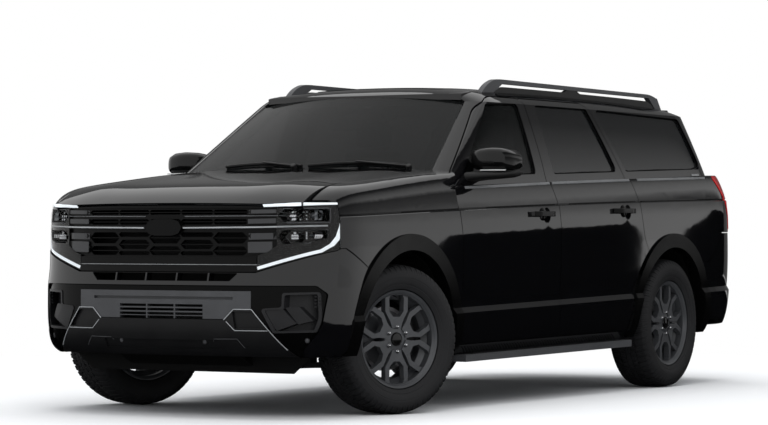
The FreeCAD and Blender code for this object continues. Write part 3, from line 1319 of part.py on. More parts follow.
def build():
    os.makedirs("parts", exist_ok=True)
    sides = make_sides()
    side = sides["body_side"]
    side_pair = pair(side)
    for name, shape in sides.items():
        save(shape.cut(fuel_door_line()) if name == "body_side" else shape, name + "_left")
        save(mirrored(shape), name + "_right")
    door_spaces = [door_room(front_door_outline), door_room(rear_door_outline)]
    flares = [trimmed(make_flare(y), side, *door_spaces) for y in (FRONT_ARCH_Y, REAR_AXLE_Y)]
    liners = [trimmed(make_liner(y), *flares) for y in (FRONT_ARCH_Y, REAR_AXLE_Y)]
    roof = biggest(trimmed(make_roof(), side_pair, pair(door_spaces[0]), pair(door_spaces[1]), gate_room()))
    screen = biggest(trimmed(make_screen(), side_pair))
    dashboard = make_dashboard()
    cowl = biggest(trimmed(make_cowl(screen), hood_room(), side_pair))
    singles = make_front(screen, side)
    singles.update({
        "hood": make_hood(), "roof_panel": roof, "cowl": cowl, "windscreen": screen,
        "quarter_glass": pair(pane(QUARTER_WINDOW, 40)),
        "liftgate": freed(make_liftgate(), side_pair, V(0, LIFTGATE_HINGE_Y, LIFTGATE_HINGE_Z), V(1, 0, 0),
                          (0, 1.5, 3)),
        "liftgate_glass": make_liftgate_glass(),
        "rear_bumper": make_rear_bumper(), "tail_lamps": pair(trimmed(make_tail_lamp(), side)),
        "running_boards": pair(make_board()), "roof_rails": pair(make_rail(roof, side)),
        "wheel_arch_trims": pair(Part.makeCompound(flares)),
        "wheel_housings": pair(Part.makeCompound(liners)), "suspension": make_suspension(),
        "chassis_frame": make_frame(), "floor_pan": make_floor([cowl, hood_room(), screen]),
        "engine_block": make_engine(), "under_shield": make_under_shield(),
        "exhaust": make_exhaust(), "fuel_tank": make_tank(), "dashboard": dashboard,
        "steering_wheel": make_steering_wheel(dashboard), "seats": make_seats()})
    for name, shape in singles.items():
        save(shape, name)
    for axle, axle_y in (("front", FRONT_AXLE_Y), ("rear", REAR_AXLE_Y)):
        wheel = make_wheel(V(WHEEL_X, axle_y, AXLE_Z))
        tyre = make_tyre(V(WHEEL_X, axle_y, AXLE_Z))
        for side_sign, name in ((1, "left"), (-1, "right")):
            pieces = [s if side_sign > 0 else mirrored(s) for s in (wheel, tyre)]
            if axle == "front":
                pieces = [turned(s, side_sign) for s in pieces]
            save(pieces[0], "wheel_" + axle + "_" + name)
            save(pieces[1], "tyre_" + axle + "_" + name)
    knuckle = make_knuckle()
    save(turned(knuckle, 1), "knuckle_left")
    save(turned(mirrored(knuckle), -1), "knuckle_right")


DOOR_MASTER = body_wall(tail_levels(), 0, WALL)
FRAME_MASTER = glasshouse_wall(0, FRAME_WALL)
PANE_MASTER = glasshouse_wall(16, 16 + GLASS)

if __name__ == "__main__":
    build()
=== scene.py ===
import json
import math

import bmesh
import bpy
from mathutils import Matrix, Vector
from mathutils.bvhtree import BVHTree


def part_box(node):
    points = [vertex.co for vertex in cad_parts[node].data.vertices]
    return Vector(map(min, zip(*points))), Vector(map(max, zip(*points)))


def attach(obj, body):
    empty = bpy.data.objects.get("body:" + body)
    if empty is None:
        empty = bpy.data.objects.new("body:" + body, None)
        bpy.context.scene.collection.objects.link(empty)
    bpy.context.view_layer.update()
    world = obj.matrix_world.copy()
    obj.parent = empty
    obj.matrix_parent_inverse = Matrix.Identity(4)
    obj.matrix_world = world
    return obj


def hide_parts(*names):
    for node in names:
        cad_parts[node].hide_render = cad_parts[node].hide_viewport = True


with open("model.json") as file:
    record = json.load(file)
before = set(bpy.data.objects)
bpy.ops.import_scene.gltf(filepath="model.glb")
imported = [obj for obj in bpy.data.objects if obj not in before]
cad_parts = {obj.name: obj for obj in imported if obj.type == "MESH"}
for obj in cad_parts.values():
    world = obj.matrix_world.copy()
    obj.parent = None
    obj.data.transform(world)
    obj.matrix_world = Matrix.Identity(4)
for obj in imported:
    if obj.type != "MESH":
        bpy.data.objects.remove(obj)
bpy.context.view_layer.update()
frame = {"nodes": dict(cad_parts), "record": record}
NODES = frame["nodes"]
SLOT_OF = {part["node"]: part["material_slot"] for part in frame["record"]["subparts"]}
SIDES = ("left", "right")

# Places of the wheels as in the part's source, in metres
WHEEL_X, FRONT_AXLE_Y, REAR_AXLE_Y, AXLE_Z = 0.859, -1.812, 1.513, 0.410
KINGPIN_OFFSET = 0.075
STEER_SHOWN = -20  # degrees


# Materials

def feed(socket, value):
    """Sets a node's input, or links it where the value is another node's output."""
    if isinstance(value, bpy.types.NodeSocket):
        socket.id_data.links.new(value, socket)
    else:
        socket.default_value = value


def node(tree, kind, **inputs):
    """A new shader node, its inputs fed by name with an underscore for each space."""
    made = tree.nodes.new("ShaderNode" + kind)
    for name, value in inputs.items():
        feed(made.inputs[name.replace("_", " ")], value)
    return made


def material(name, color, rough, spec=0.5, grain=0.0, grain_scale=400.0, metal=0.0, cells=False,
             vary=0.12, rough_vary=0.08, alpha=1.0, sheen=0.0, emission=None):
    """Colour and roughness wander a little, and a fine grain or small cells give the bump."""
    look = bpy.data.materials.new(name)
    look.use_nodes = True
    tree = look.node_tree
    place = node(tree, "TexCoord").outputs["Object"]
    tone = node(tree, "TexNoise", Vector=place, Scale=9.0, Detail=6.0).outputs["Fac"]
    ramp = node(tree, "ValToRGB", Fac=tone)
    for stop, position, share in zip(ramp.color_ramp.elements, (0.3, 0.7), (1 - vary, 1 + vary)):
        stop.position = position
        stop.color = [*(min(c * share, 1) for c in color), 1]
    spread = node(tree, "MapRange", Value=tone, To_Min=max(rough - rough_vary, 0.0),
                  To_Max=min(rough + rough_vary, 1.0))
    values = {"Base Color": ramp.outputs["Color"], "Roughness": spread.outputs["Result"], "Metallic": metal,
              "Specular IOR Level": spec, "Alpha": alpha, "Sheen Weight": sheen}
    if emission:
        values.update({"Emission Color": [*emission[:3], 1], "Emission Strength": emission[3]})
    if grain:
        fine = node(tree, "TexVoronoi" if cells else "TexNoise", Vector=place, Scale=grain_scale)
        values["Normal"] = node(tree, "Bump", Strength=grain, Distance=0.0006,
                                Height=fine.outputs["Distance" if cells else "Fac"]).outputs["Normal"]
    for key, value in values.items():
        feed(tree.nodes["Principled BSDF"].inputs[key], value)
    return look


# Name, colour, roughness, reflectance, strength and scale of the grain
PAINT = material("Paint", (0.0022, 0.0022, 0.0026), 0.04, 0.50, 0.02, 60, rough_vary=0.015)
GLOSS = material("Gloss_Black", (0.003, 0.003, 0.003), 0.09, 0.3, rough_vary=0.02)
TRIM = material("Grained_Trim", (0.016, 0.016, 0.017), 0.48, 0.4, 0.5, 900)
GREY_TRIM = material("Grey_Trim", (0.045, 0.046, 0.049), 0.42, 0.4, 0.35, 900)
GRILLE = material("Grille_Black", (0.006, 0.006, 0.0065), 0.30, 0.4, 0.1, 900)
# Near-black below the black trim: painted shade on parts sitting in recesses, and the black print of the
# windscreen border.
BLACK_AND_RECESS_SHADE = material("Black_Print_And_Painted_Recess_Shade", (0.003, 0.003, 0.003), 0.7, 0.2)
# Clear glass made mostly opaque near-black: painted shade of the dark cabin seen through it.
CLEAR_GLASS_CABIN_SHADE = material("Clear_Glass_Painted_Cabin_Shade", (0.003, 0.0035, 0.0035), 0.01, 0.14, alpha=0.72, rough_vary=0.004, vary=0.03)
TINT = material("Tinted_Glass", (0.004, 0.0045, 0.005), 0.02, 0.45, alpha=0.86, rough_vary=0.006, vary=0.05)
LENS = material("Lamp_Lens", (0.004, 0.004, 0.004), 0.02, 0.3, alpha=0.07, rough_vary=0.0, vary=0.0)
RED_LENS = material("Red_Lens", (0.30, 0.004, 0.006), 0.12, 0.5, 0.4, 180, cells=True)
IRON = material("Chassis_Iron", (0.012, 0.012, 0.013), 0.55, 0.35, 0.8, 260)
ENGINE = material("Cast_Aluminium", (0.22, 0.22, 0.23), 0.5, 0.5, 0.8, 300, metal=0.8)
STEEL = material("Exhaust_Steel", (0.30, 0.29, 0.28), 0.35, 0.5, 0.25, 220, metal=1.0)
CABIN = material("Cabin_Trim", (0.014, 0.014, 0.015), 0.6, 0.3, 0.6, 700)
LEATHER = material("Seat_Leather", (0.020, 0.020, 0.022), 0.5, 0.35, 0.8, 420, cells=True, sheen=0.1)
WHEEL = material("Wheel_Paint", (0.058, 0.060, 0.064), 0.34, 0.5, 0.08, 700, metal=0.35)
RUBBER = material("Tyre_Rubber", (0.011, 0.011, 0.012), 0.62, 0.3, 0.5, 500)
CHROME = material("Chrome", (0.62, 0.63, 0.65), 0.08, metal=1.0, rough_vary=0.02)
LIT = material("Daylight_Lamp", (0.55, 0.58, 0.60), 0.3, emission=(0.90, 0.96, 1.0, 0.55))
BRIGHT = material("Bright_Trim", (0.35, 0.36, 0.37), 0.25, metal=0.9, rough_vary=0.05)
HANDLE = material("Handle_Black", (0.002, 0.002, 0.002), 0.12, 0.12)
SKID = material("Skid_Satin", (0.0045, 0.0045, 0.005), 0.38, 0.3, 0.25, 900)
FLARE = material("Flare_Black", (0.0015, 0.0015, 0.0015), 0.22, 0.10, 0.05, 500)
# The bumper mask's own black, also laid in strips along the side groove as painted shade.
MASK_AND_GROOVE_SHADE = material("Mask_Black_And_Painted_Groove_Shade", (0.0012, 0.0012, 0.0012), 0.18, 0.08, 0.04, 500)
WEB = material("Grille_Black", (0.0018, 0.0018, 0.0018), 0.30, 0.12, 0.10, 600)
# Lighter grey for bevelled edges and thin lines on black parts: a painted highlight.
WEB_EDGE_HIGHLIGHT = material("Grille_Painted_Edge_Highlight", (0.095, 0.097, 0.100), 0.32, 0.4, 0.05, 600)
BLADE = material("Grille_Blade", (0.030, 0.0305, 0.032), 0.34, 0.4, 0.08, 600)
# The fog bezels' own grey, also used on the skid plate's bevelled edges as a painted highlight.
BEZEL_AND_SKID_HIGHLIGHT = material("Bezel_Grey_And_Skid_Edge_Highlight", (0.011, 0.011, 0.012), 0.42, 0.3, 0.3, 700)
# Light grey strips laid along edges: a painted highlight.
EDGE_HIGHLIGHT = material("Painted_Edge_Highlight", (0.34, 0.35, 0.36), 0.30, metal=0.4, rough_vary=0.05)
# Light grey on the black belt moulding: a painted highlight of its top edge.
BELT_TRIM_HIGHLIGHT = material("Belt_Trim_Painted_Highlight", (0.130, 0.132, 0.135), 0.30, 0.5, 0.1, 800)
SEAL = material("Window_Seal", (0.003, 0.003, 0.003), 0.75, 0.08, 0.3, 900)
WIPER = material("Wiper_Black", (0.008, 0.008, 0.008), 0.5, 0.35, 0.3, 700)
TREAD = material("Step_Tread", (0.010, 0.010, 0.011), 0.72, 0.3, 0.8, 600)
DISC = material("Brake_Steel", (0.24, 0.24, 0.25), 0.38, 0.5, 0.35, 500, metal=1.0)
PROJECTOR = material("Lamp_Projector", (0.16, 0.17, 0.18), 0.12, 0.8, metal=0.3, rough_vary=0.01)
PLATE = material("Blank_Plate", (0.62, 0.62, 0.60), 0.42, 0.5, 0.1, 400, vary=0.03)
RED_LIT = material("Red_Light_Bar", (0.42, 0.010, 0.010), 0.2, 0.5, 0.3, 300, cells=True,
                   emission=(0.9, 0.02, 0.02, 0.12))
LENS_WHITE = material("Reversing_Lens", (0.55, 0.56, 0.57), 0.2, 0.5, 0.5, 260, cells=True)
LIT_EDGE = material("Mirror_Lamp", (0.45, 0.45, 0.44), 0.25, vary=0.04)
ROOF_GLASS = material("Roof_Glass", (0.002, 0.002, 0.0022), 0.03, 0.4, rough_vary=0.01)
SCREEN = material("Display_Glass", (0.003, 0.003, 0.004), 0.08, rough_vary=0.02)
LINER = material("Roof_Liner", (0.022, 0.022, 0.023), 0.85, 0.1, 0.25, 300)
CARPET = material("Cabin_Carpet", (0.010, 0.010, 0.011), 0.95, 0.1, 1.0, 700, sheen=0.3)
LEATHER_TRIM = material("Trim_Leather", (0.018, 0.018, 0.019), 0.5, 0.35, 0.7, 420, cells=True)

BY_SLOT = {"lamp_white": LIT, "body_paint": PAINT, "gloss_black": GLOSS, "grey_trim": GREY_TRIM,
           "grille_black": GRILLE, "black_plastic": TRIM, "lamp_clear": LENS, "lamp_red": RED_LENS,
           "clear_glass": CLEAR_GLASS_CABIN_SHADE, "tinted_glass": TINT, "chassis_metal": IRON, "engine_metal": ENGINE,
           "exhaust_steel": STEEL, "cabin_trim": CABIN, "seat_leather": LEATHER, "wheel_grey": WHEEL,
           "tyre_rubber": RUBBER}
# The front carrier, under shield and wheel housings take the near-black of painted recess shade.
OWN_LOOK = {"skid_plate": SKID, "front_carrier": BLACK_AND_RECESS_SHADE, "wheel_arch_trims": FLARE, "under_shield": BLACK_AND_RECESS_SHADE,
            "wheel_housings": BLACK_AND_RECESS_SHADE, "cowl": WIPER, "bumper_mask": MASK_AND_GROOVE_SHADE, "grille": WEB, "fog_bezels": BEZEL_AND_SKID_HIGHLIGHT}
# Nodes with a bevelled edge in a lighter look, a painted edge highlight: its look and width
PAINTED_EDGE_HIGHLIGHTS = {"grille": (WEB_EDGE_HIGHLIGHT, 0.0022), "skid_plate": (BEZEL_AND_SKID_HIGHLIGHT, 0.0015), "plate_panel": (WEB_EDGE_HIGHLIGHT, 0.0012)}


def dress_nodes():
    for name, solid in NODES.items():
        solid.data.materials.clear()
        solid.data.materials.append(OWN_LOOK.get(name, BY_SLOT[SLOT_OF[name]]))
        if name in PAINTED_EDGE_HIGHLIGHTS:
            look, width = PAINTED_EDGE_HIGHLIGHTS[name]
            solid.data.materials.append(look)
            # The bevel's faces take the second, lighter look: a painted edge highlight.
            bevel = solid.modifiers.new("Edges", "BEVEL")
            bevel.width = width
            bevel.segments = 1
            bevel.limit_method = "ANGLE"
            bevel.angle_limit = math.radians(40)
            bevel.material = 1
        for polygon in solid.data.polygons:
            polygon.use_smooth = True


# Pieces. A part is a pair of a list of points and a list of faces.

def put(name, part, look, body="root", sharp=38.0):
    """One mesh piece that rides on a CAD body."""
    verts, faces = part
    data = bpy.data.meshes.new(name)
    data.from_pydata([tuple(v) for v in verts], [], faces)
    work = bmesh.new()
    work.from_mesh(data)
    bmesh.ops.remove_doubles(work, verts=work.verts, dist=1e-6)
    bmesh.ops.recalc_face_normals(work, faces=work.faces)
    work.to_mesh(data)
    work.free()
    data.materials.append(look)
    data.shade_smooth()
    data.set_sharp_from_angle(angle=math.radians(sharp))
    piece = bpy.data.objects.new(name, data)
    bpy.context.scene.collection.objects.link(piece)
    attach(piece, body)
    return piece


def put_pair(name, part, look, body="root", sharp=38.0):
    """The same piece on a left body and, mirrored, on the right one."""
    return (put(name + "_left", part, look, body, sharp),
            put(name + "_right", flipped(part), look, body.replace("_left", "_right"), sharp))


def merge(parts):
    verts, faces = [], []
    for more, cells in parts:
        start = len(verts)
        verts += list(more)
        faces += [tuple(start + i for i in cell) for cell in cells]
    return verts, faces


def flipped(part):
    """The mirror image across the middle of the vehicle."""
    verts, faces = part
    return [Vector((-v[0], v[1], v[2])) for v in verts], [tuple(reversed(f)) for f in faces]


def both(part):
    return merge([part, flipped(part)])


def moved(part, matrix):
    return [matrix @ Vector(v) for v in part[0]], part[1]


def at(x, y, z):
    return Matrix.Translation((x, y, z))


def turned(degrees, axis):
    return Matrix.Rotation(math.radians(degrees), 4, axis)


LATHE_UP = turned(-90, "Y")  # stands a lathe's axis along the local Z
ON_YZ = Matrix(((0, 0, 1, 0), (1, 0, 0, 0), (0, 1, 0, 0), (0, 0, 0, 1)))  # lays a slab's outline across X


def mix(a, b, t):
    return a + (b - a) * t


def spaced(a, b, steps):
    """Even values from a to b, both included."""
    return [mix(a, b, k / steps) for k in range(steps + 1)]


def circle(radius, count, other=None):
    """Points round a circle, or an ellipse where the other half-width is given."""
    turns = [2 * math.pi * k / count for k in range(count)]
    return [(radius * math.cos(a), (other or radius) * math.sin(a)) for a in turns]


# Rays that find the surface of the CAD nodes: a start well off the vehicle, or inside it, and a way

def ahead(x, z):
    return (x, -3.4, z), (0, 1, 0)


def beside(y, z):
    return (1.6, y, z), (-1, 0, 0)


def behind(x, z):
    return (x, 3.4, z), (0, -1, 0)


def above(x, y, height=3.0):
    return (x, y, height), (0, 0, -1)


def below(x, y):
    return (x, y, 1.2), (0, 0, 1)


TREES = {}


def surface(names):
    if names not in TREES:
        parts = []
        for name in names.split():
            mesh = NODES[name].data
            parts.append(([v.co.copy() for v in mesh.vertices], [tuple(p.vertices) for p in mesh.polygons]))
        TREES[names] = BVHTree.FromPolygons(*merge(parts))
    return TREES[names]


def meet(names, ray):
    """Where a ray first meets those nodes, and the normal there."""
    start, way = Vector(ray[0]), Vector(ray[1])
    place, normal, _, _ = surface(names).ray_cast(start, way)
    if place is None:
        return None
    return place, -normal if normal.dot(way) > 0 else normal


def find(names, ray):
    """Like meet, for a surface that is sure to be there: a ray that slips between two faces goes again."""
    for aside in (0.0, 0.0003, -0.0003, 0.001):
        hit = meet(names, (Vector(ray[0]) + Vector((aside, aside, aside)), ray[1]))
        if hit:
            return hit


def traced(view, points, names, lift=0.0):
    """Where a view's rays meet those nodes, as places and normals; a miss is left out."""
    found = [hit for hit in (meet(names, view(*point)) for point in points) if hit]
    return [place + normal * lift for place, normal in found], [normal for _, normal in found]


def dense(points, step=0.02, closed=False):
    """The same line with a point at least every step."""
    ends = list(points) + ([points[0]] if closed else [])
    out = []
    for a, b in zip(ends, ends[1:]):
        count = max(1, int(math.ceil(math.dist(a, b) / step)))
        out += [tuple(p + (q - p) * k / count for p, q in zip(a, b)) for k in range(count)]
    return out if closed else out + [tuple(points[-1])]


def curved(points, rounds=2, closed=False):
    """Corner cutting: the line turned into a soft curve."""
    for _ in range(rounds):
        out = [] if closed else [points[0]]
        for a, b in list(zip(points, points[1:])) + ([(points[-1], points[0])] if closed else []):
            out += [tuple(p * (1 - t) + q * t for p, q in zip(a, b)) for t in (0.25, 0.75)]
        points = out if closed else out + [points[-1]]
    return points


def shrunk(outline, distance):
    """An outline with each point drawn towards its middle."""
    cx, cz = (sum(p[i] for p in outline) / len(outline) for i in (0, 1))
    out = []
    for x, z in outline:
        share = distance / math.hypot(x - cx, z - cz)
        out.append((x - (x - cx) * share, z - (z - cz) * share))
    return out


def even(normals):
    """Normals evened out over their neighbours."""
    return [sum(normals[max(0, i - 2):i + 3], Vector()).normalized() for i in range(len(normals))]


def flat_section(width, height, sunk=0.002, chamfer=None):
    w = width / 2
    c = min(height * 0.4 if chamfer is None else chamfer, height * 0.5, width * 0.3)
    return [(-w, -sunk), (-w, height - c), (-w + c, height), (w - c, height), (w, height - c), (w, -sunk)]


def sweep(places, normals, section, closed=False):
    """A section of (across, up) points carried along places; the normals give its up."""
    n, m = len(places), len(section)
    if n < 2:
        return [], []
    verts = []
    places = [Vector(p) for p in places]
    for i, p in enumerate(places):
        a = places[i - 1] if i or closed else p
        b = places[(i + 1) % n] if i < n - 1 or closed else p
        along = (b - a).normalized()
        across = along.cross(Vector(normals[i])).normalized()
        up = across.cross(along)
        verts += [p + across * s + up * u for s, u in section]
    faces = ring_faces(n, m, closed)
    if not closed:
        faces += [tuple(reversed(range(m))), tuple((n - 1) * m + k for k in range(m))]
    return verts, faces


def ring_faces(rings, size, closed=False, gap=0):
    """The faces between rings of points; a gap of one leaves each ring open."""
    pairs = [(i * size, (i + 1) % rings * size) for i in range(rings if closed else rings - 1)]
    sides = [(k, (k + 1) % size) for k in range(size - gap)]
    return [(a + k, a + l, b + l, b + k) for a, b in pairs for k, l in sides]


def strip(found, section, closed=False):
    places, normals = found
    return sweep(places, even(normals), section, closed)


def line_on(points, names, width, height, view=ahead):
    return strip(traced(view, dense(points), names), flat_section(width, height, 0.001))


def pipe(points, radius, count=10):
    """A round bar along a line."""
    up = Vector((0.13, 0.21, 0.97)).normalized()
    return sweep(points, [up] * len(points), circle(radius, count))


def lathe(profile, matrix, count=48, closed=True):
    """A profile of (along, radius) points turned round the local X axis."""
    turns = [2 * math.pi * i / count for i in range(count)]
    verts = [matrix @ Vector((x, r * math.cos(a), r * math.sin(a))) for a in turns for x, r in profile]
    return verts, ring_faces(count, len(profile), True, 0 if closed else 1)


def dome(profile, matrix, count):
    """A lathe whose profile starts and ends on the axis, standing along the local Z."""
    return lathe(profile, matrix @ LATHE_UP, count, False)


def loft(rings, floor=True):
    """Skin over rings of the same number of points, closed at its ends."""
    n = len(rings[0])
    faces = ring_faces(len(rings), n) + ([tuple(reversed(range(n)))] if floor else [])
    return [v for ring in rings for v in ring], faces + [tuple((len(rings) - 1) * n + i for i in range(n))]


def slab(outline, depth, matrix, bevel=0.002, steps=2):
    """A plate with rounded edges: an outline in the local XY plane, from z 0 up to depth."""
    size = len(outline)
    area = sum(outline[i - 1][0] * outline[i][1] - outline[i][0] * outline[i - 1][1] for i in range(size))
    sign = 1 if area > 0 else -1
    ways = []
    for i, (x, y) in enumerate(outline):
        px, py = outline[i - 1]
        qx, qy = outline[(i + 1) % size]
        a, b = math.hypot(x - px, y - py) or 1, math.hypot(qx - x, qy - y) or 1
        nx, ny = (y - py) / a + (qy - y) / b, -(x - px) / a - (qx - x) / b
        length = math.hypot(nx, ny) or 1
        ways.append((-sign * nx / length, -sign * ny / length))
    bends = [math.pi / 2 * k / steps for k in range(steps + 1)]
    levels = [(0.0, 0.0)] + [(bevel * (1 - math.cos(t)), depth - bevel + bevel * math.sin(t)) for t in bends]
    return loft([[matrix @ Vector((x + wx * inset, y + wy * inset, z))
                  for (x, y), (wx, wy) in zip(outline, ways)] for inset, z in levels])


def facing(hit, up=(0, 0, 1)):
    """A matrix at a place whose Z looks along the normal there and whose Y leans towards up."""
    place, normal = hit
    z = Vector(normal).normalized()
    x = Vector(up).cross(z).normalized()
    m = Matrix((x, z.cross(x), z)).transposed().to_4x4()
    m.translation = Vector(place)
    return m


def round_outline(width, height, radius, steps=5):
    out = []
    for cx, cy, start in ((1, 1, 0), (-1, 1, 90), (-1, -1, 180), (1, -1, 270)):
        for k in range(steps + 1):
            a = math.radians(start + 90 * k / steps)
            out.append((cx * (width / 2 - radius) + radius * math.cos(a),
                        cy * (height / 2 - radius) + radius * math.sin(a)))
    return out


def plate(width, height, corner, depth, matrix, bevel=0.002, steps=2):
    return slab(round_outline(width, height, corner), depth, matrix, bevel, steps)


def grid_faces(rows, columns):
    return [(a * columns + b, (a + 1) * columns + b, (a + 1) * columns + b + 1, a * columns + b + 1)
            for a in range(rows - 1) for b in range(columns - 1)]


# Wheels

def wheel_place(axle, s):
    """The wheel's own frame: X outwards along the axle, the origin at its middle."""
    turn = turned(180, "Z") if s < 0 else Matrix()
    if axle == "front":
        return (at(s * (WHEEL_X - KINGPIN_OFFSET), FRONT_AXLE_Y, AXLE_Z) @ turned(STEER_SHOWN, "Z")
                @ at(s * KINGPIN_OFFSET, 0, 0) @ turn)
    return at(s * WHEEL_X, REAR_AXLE_Y, AXLE_Z) @ turn


SHOULDER, BLOCKS, RIB = 1, 2, 4  # zones of the tread; 0 is the sidewall and 3 a groove's floor
# Half of a tyre's outline from the bead inwards: distance from its middle plane, radius and zone
TYRE_SIDE = [(0.0934, 0.2580, 0), (0.0960, 0.2640, 0), (0.0994, 0.2700, 0), (0.1060, 0.2722, 0),
             (0.1194, 0.2740, 0), (0.1232, 0.2800, 0), (0.1262, 0.2900, 0), (0.1291, 0.2960, 0),
             (0.1286, 0.2985, 0), (0.1302, 0.3010, 0), (0.1345, 0.3120, 0), (0.1362, 0.3230, 0),
             (0.1375, 0.3330, 0), (0.1364, 0.3352, 0), (0.1373, 0.3374, 0), (0.1368, 0.3450, 0),
             (0.1356, 0.3560, 0), (0.1342, 0.3640, 1), (0.1322, 0.3720, 1), (0.1272, 0.3830, 1),
             (0.1205, 0.3930, 1), (0.1135, 0.4000, 1), (0.1040, 0.4030, 1), (0.0900, 0.4062, 1),
             (0.0760, 0.4080, 1), (0.0620, 0.4087, 1), (0.0596, 0.4088, 1), (0.0588, 0.4010, 3),
             (0.0542, 0.4010, 3), (0.0534, 0.4091, 2), (0.0440, 0.4094, 2), (0.0300, 0.4097, 2),
             (0.0206, 0.4099, 2), (0.0198, 0.4020, 3), (0.0162, 0.4020, 3), (0.0154, 0.4100, 4),
             (0.0080, 0.4100, 4)]
PITCHES = 64
ZONE_SHIFT = (0.0, 0.18, -0.35, 0.0, 0.25)  # of each zone's blocks, in pitches
BLOCK_LEAN = 5.5  # pitches per metre across the tread
# One pitch: shares of it, each a slot's bottom, a slot's edge, a block's top or a fine cut
SLOT, SLOT_EDGE, TOP, CUT = range(4)
PITCH = [(0.0, SLOT), (0.10, SLOT_EDGE), (0.14, TOP), (0.46, TOP), (0.49, CUT), (0.52, TOP), (0.82, TOP),
         (0.86, SLOT_EDGE)]


def tread_depth(radius, zone, kind):
    """How deep a point lies below the tyre's outline."""
    slot = kind in (SLOT, SLOT_EDGE)
    if zone == SHOULDER:
        fade = min(1.0, max(0.0, (radius - 0.364) / 0.025))
        return 0.003 * fade if kind == CUT else slot * 0.0066 * (0.25 + 0.75 * fade)
    if zone == BLOCKS:
        return slot * 0.0052 + (kind == CUT) * 0.0030
    return 0.0040 if (zone, kind) == (RIB, SLOT) else 0.0


def tyre(matrix):
    """A tyre with grooves, stepped blocks, fine cuts and plain sidewalls."""
    rows = TYRE_SIDE + [(0.0, 0.4100, RIB)] + [(-x, r, zone) for x, r, zone in reversed(TYRE_SIDE)]
    columns = [(pitch + share, kind) for pitch in range(PITCHES) for share, kind in PITCH]
    verts = []
    for place, kind in columns:
        for x, r, zone in rows:
            lean = BLOCK_LEAN * x if zone in (SHOULDER, BLOCKS, RIB) else 0.0
            a = 2 * math.pi * (place + (ZONE_SHIFT[zone] + lean) * (1 if x >= 0 else -1)) / PITCHES
            reach = r - tread_depth(r, zone, kind)
            verts.append(matrix @ Vector((x, reach * math.sin(a), reach * math.cos(a))))
    return verts, ring_faces(len(columns), len(rows), True, 1)


NUT_RADIUS, NUT_LENGTH, NUT_CIRCLE = 0.0115, 0.020, 0.0675
# Outlines as (along the axle, radius), the first two counted from the hub's face
CAP_OUTLINE = [(-0.006, 0.0), (-0.006, 0.0385), (0.009, 0.0375), (0.0125, 0.0345), (0.0105, 0.0315),
               (0.0118, 0.020), (0.0124, 0.0)]
NUT_SEAT = [(-0.004, 0.0122), (0.0012, 0.0128), (0.0012, 0.0168), (-0.004, 0.0174)]
BRAKE_DISC = [(-0.008, 0.080), (-0.008, 0.176), (-0.024, 0.176), (-0.024, 0.170), (-0.032, 0.170),
              (-0.032, 0.176), (-0.038, 0.176), (-0.038, 0.080)]
VALVE_LINE = ((0.060, 0.0, 0.236), (0.075, 0.0, 0.232), (0.092, 0.0, 0.226))
# Outer and inner edge of the brake caliper: radius and first angle of an arc
CALIPER_ARCS = ((0.198, -32), (0.118, 32))
CALIPER_TURN = {"front": 90, "rear": 65}  # degrees from straight up towards the rear


def wheel_nut(matrix):
    rise = [(-0.004, 0.0), (-0.004, 0.80), (0.001, 0.72), (0.005, 0.45), (0.006, 0.0)]
    return merge([slab(circle(NUT_RADIUS, 6), NUT_LENGTH, matrix, 0.0025),
                  dome([(NUT_LENGTH + x, NUT_RADIUS * share) for x, share in rise], matrix, 16)])


def make_hub_details(tag, m, face):
    """Nuts, their seats and the cap; face is how far out the hub's face stands."""
    body = "wheel_" + tag
    places = [(NUT_CIRCLE * math.cos(a), NUT_CIRCLE * math.sin(a))
              for a in (math.radians(60 * k + 30) for k in range(6))]
    nuts = [wheel_nut(m @ at(face - 0.004, y, z) @ turned(90, "Y")) for y, z in places]
    put("lug_nuts_" + tag, merge(nuts), CHROME, body, 30)
    seats = [lathe([(face + x, r) for x, r in NUT_SEAT], m @ at(0, y, z), 20) for y, z in places]
    put("nut_seats_" + tag, merge(seats), IRON, body)
    put("wheel_cap_" + tag, lathe([(face + x, r) for x, r in CAP_OUTLINE], m, 40, False), GLOSS, body)


def make_brake(tag, m, axle, side):
    put("brake_disc_" + tag, lathe(BRAKE_DISC, m, 72), DISC, "wheel_" + tag)
    outline = []
    for radius, start in CALIPER_ARCS:
        for k in range(13):
            a = math.radians(start - 2 * start * k / 12)
            outline.append((radius * math.sin(a), radius * math.cos(a)))
    turn = turned(CALIPER_TURN[axle] * (-1 if side == "left" else 1), "X")
    put("caliper_" + tag, slab(outline, 0.070, m @ turn @ at(-0.060, 0, 0) @ ON_YZ, 0.010, 4), IRON,
        "steer_" + side if axle == "front" else "root")


def make_wheels():
    for axle in ("front", "rear"):
        for side in SIDES:
            tag = axle + "_" + side
            body = "wheel_" + tag
            m = wheel_place(axle, 1 if side == "left" else -1)
            piece = put("tread_" + tag, tyre(m), RUBBER, body, 32)
            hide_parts("tyre_" + tag)
            inwards = m @ Vector((0.30, NUT_CIRCLE, 0.0)), m.to_3x3() @ Vector((-1, 0, 0))
            make_hub_details(tag, m, (m.inverted() @ find(body, inwards)[0]).x)
            put("valve_" + tag, pipe([m @ Vector(p) for p in VALVE_LINE], 0.0035), RUBBER, body)
            make_brake(tag, m, axle, side)


# Front, its lines as (x, z) points of the left half

NOSE = "grille front_bumper bumper_mask skid_plate plate_panel headlamps fog_bezels hood front_carrier"
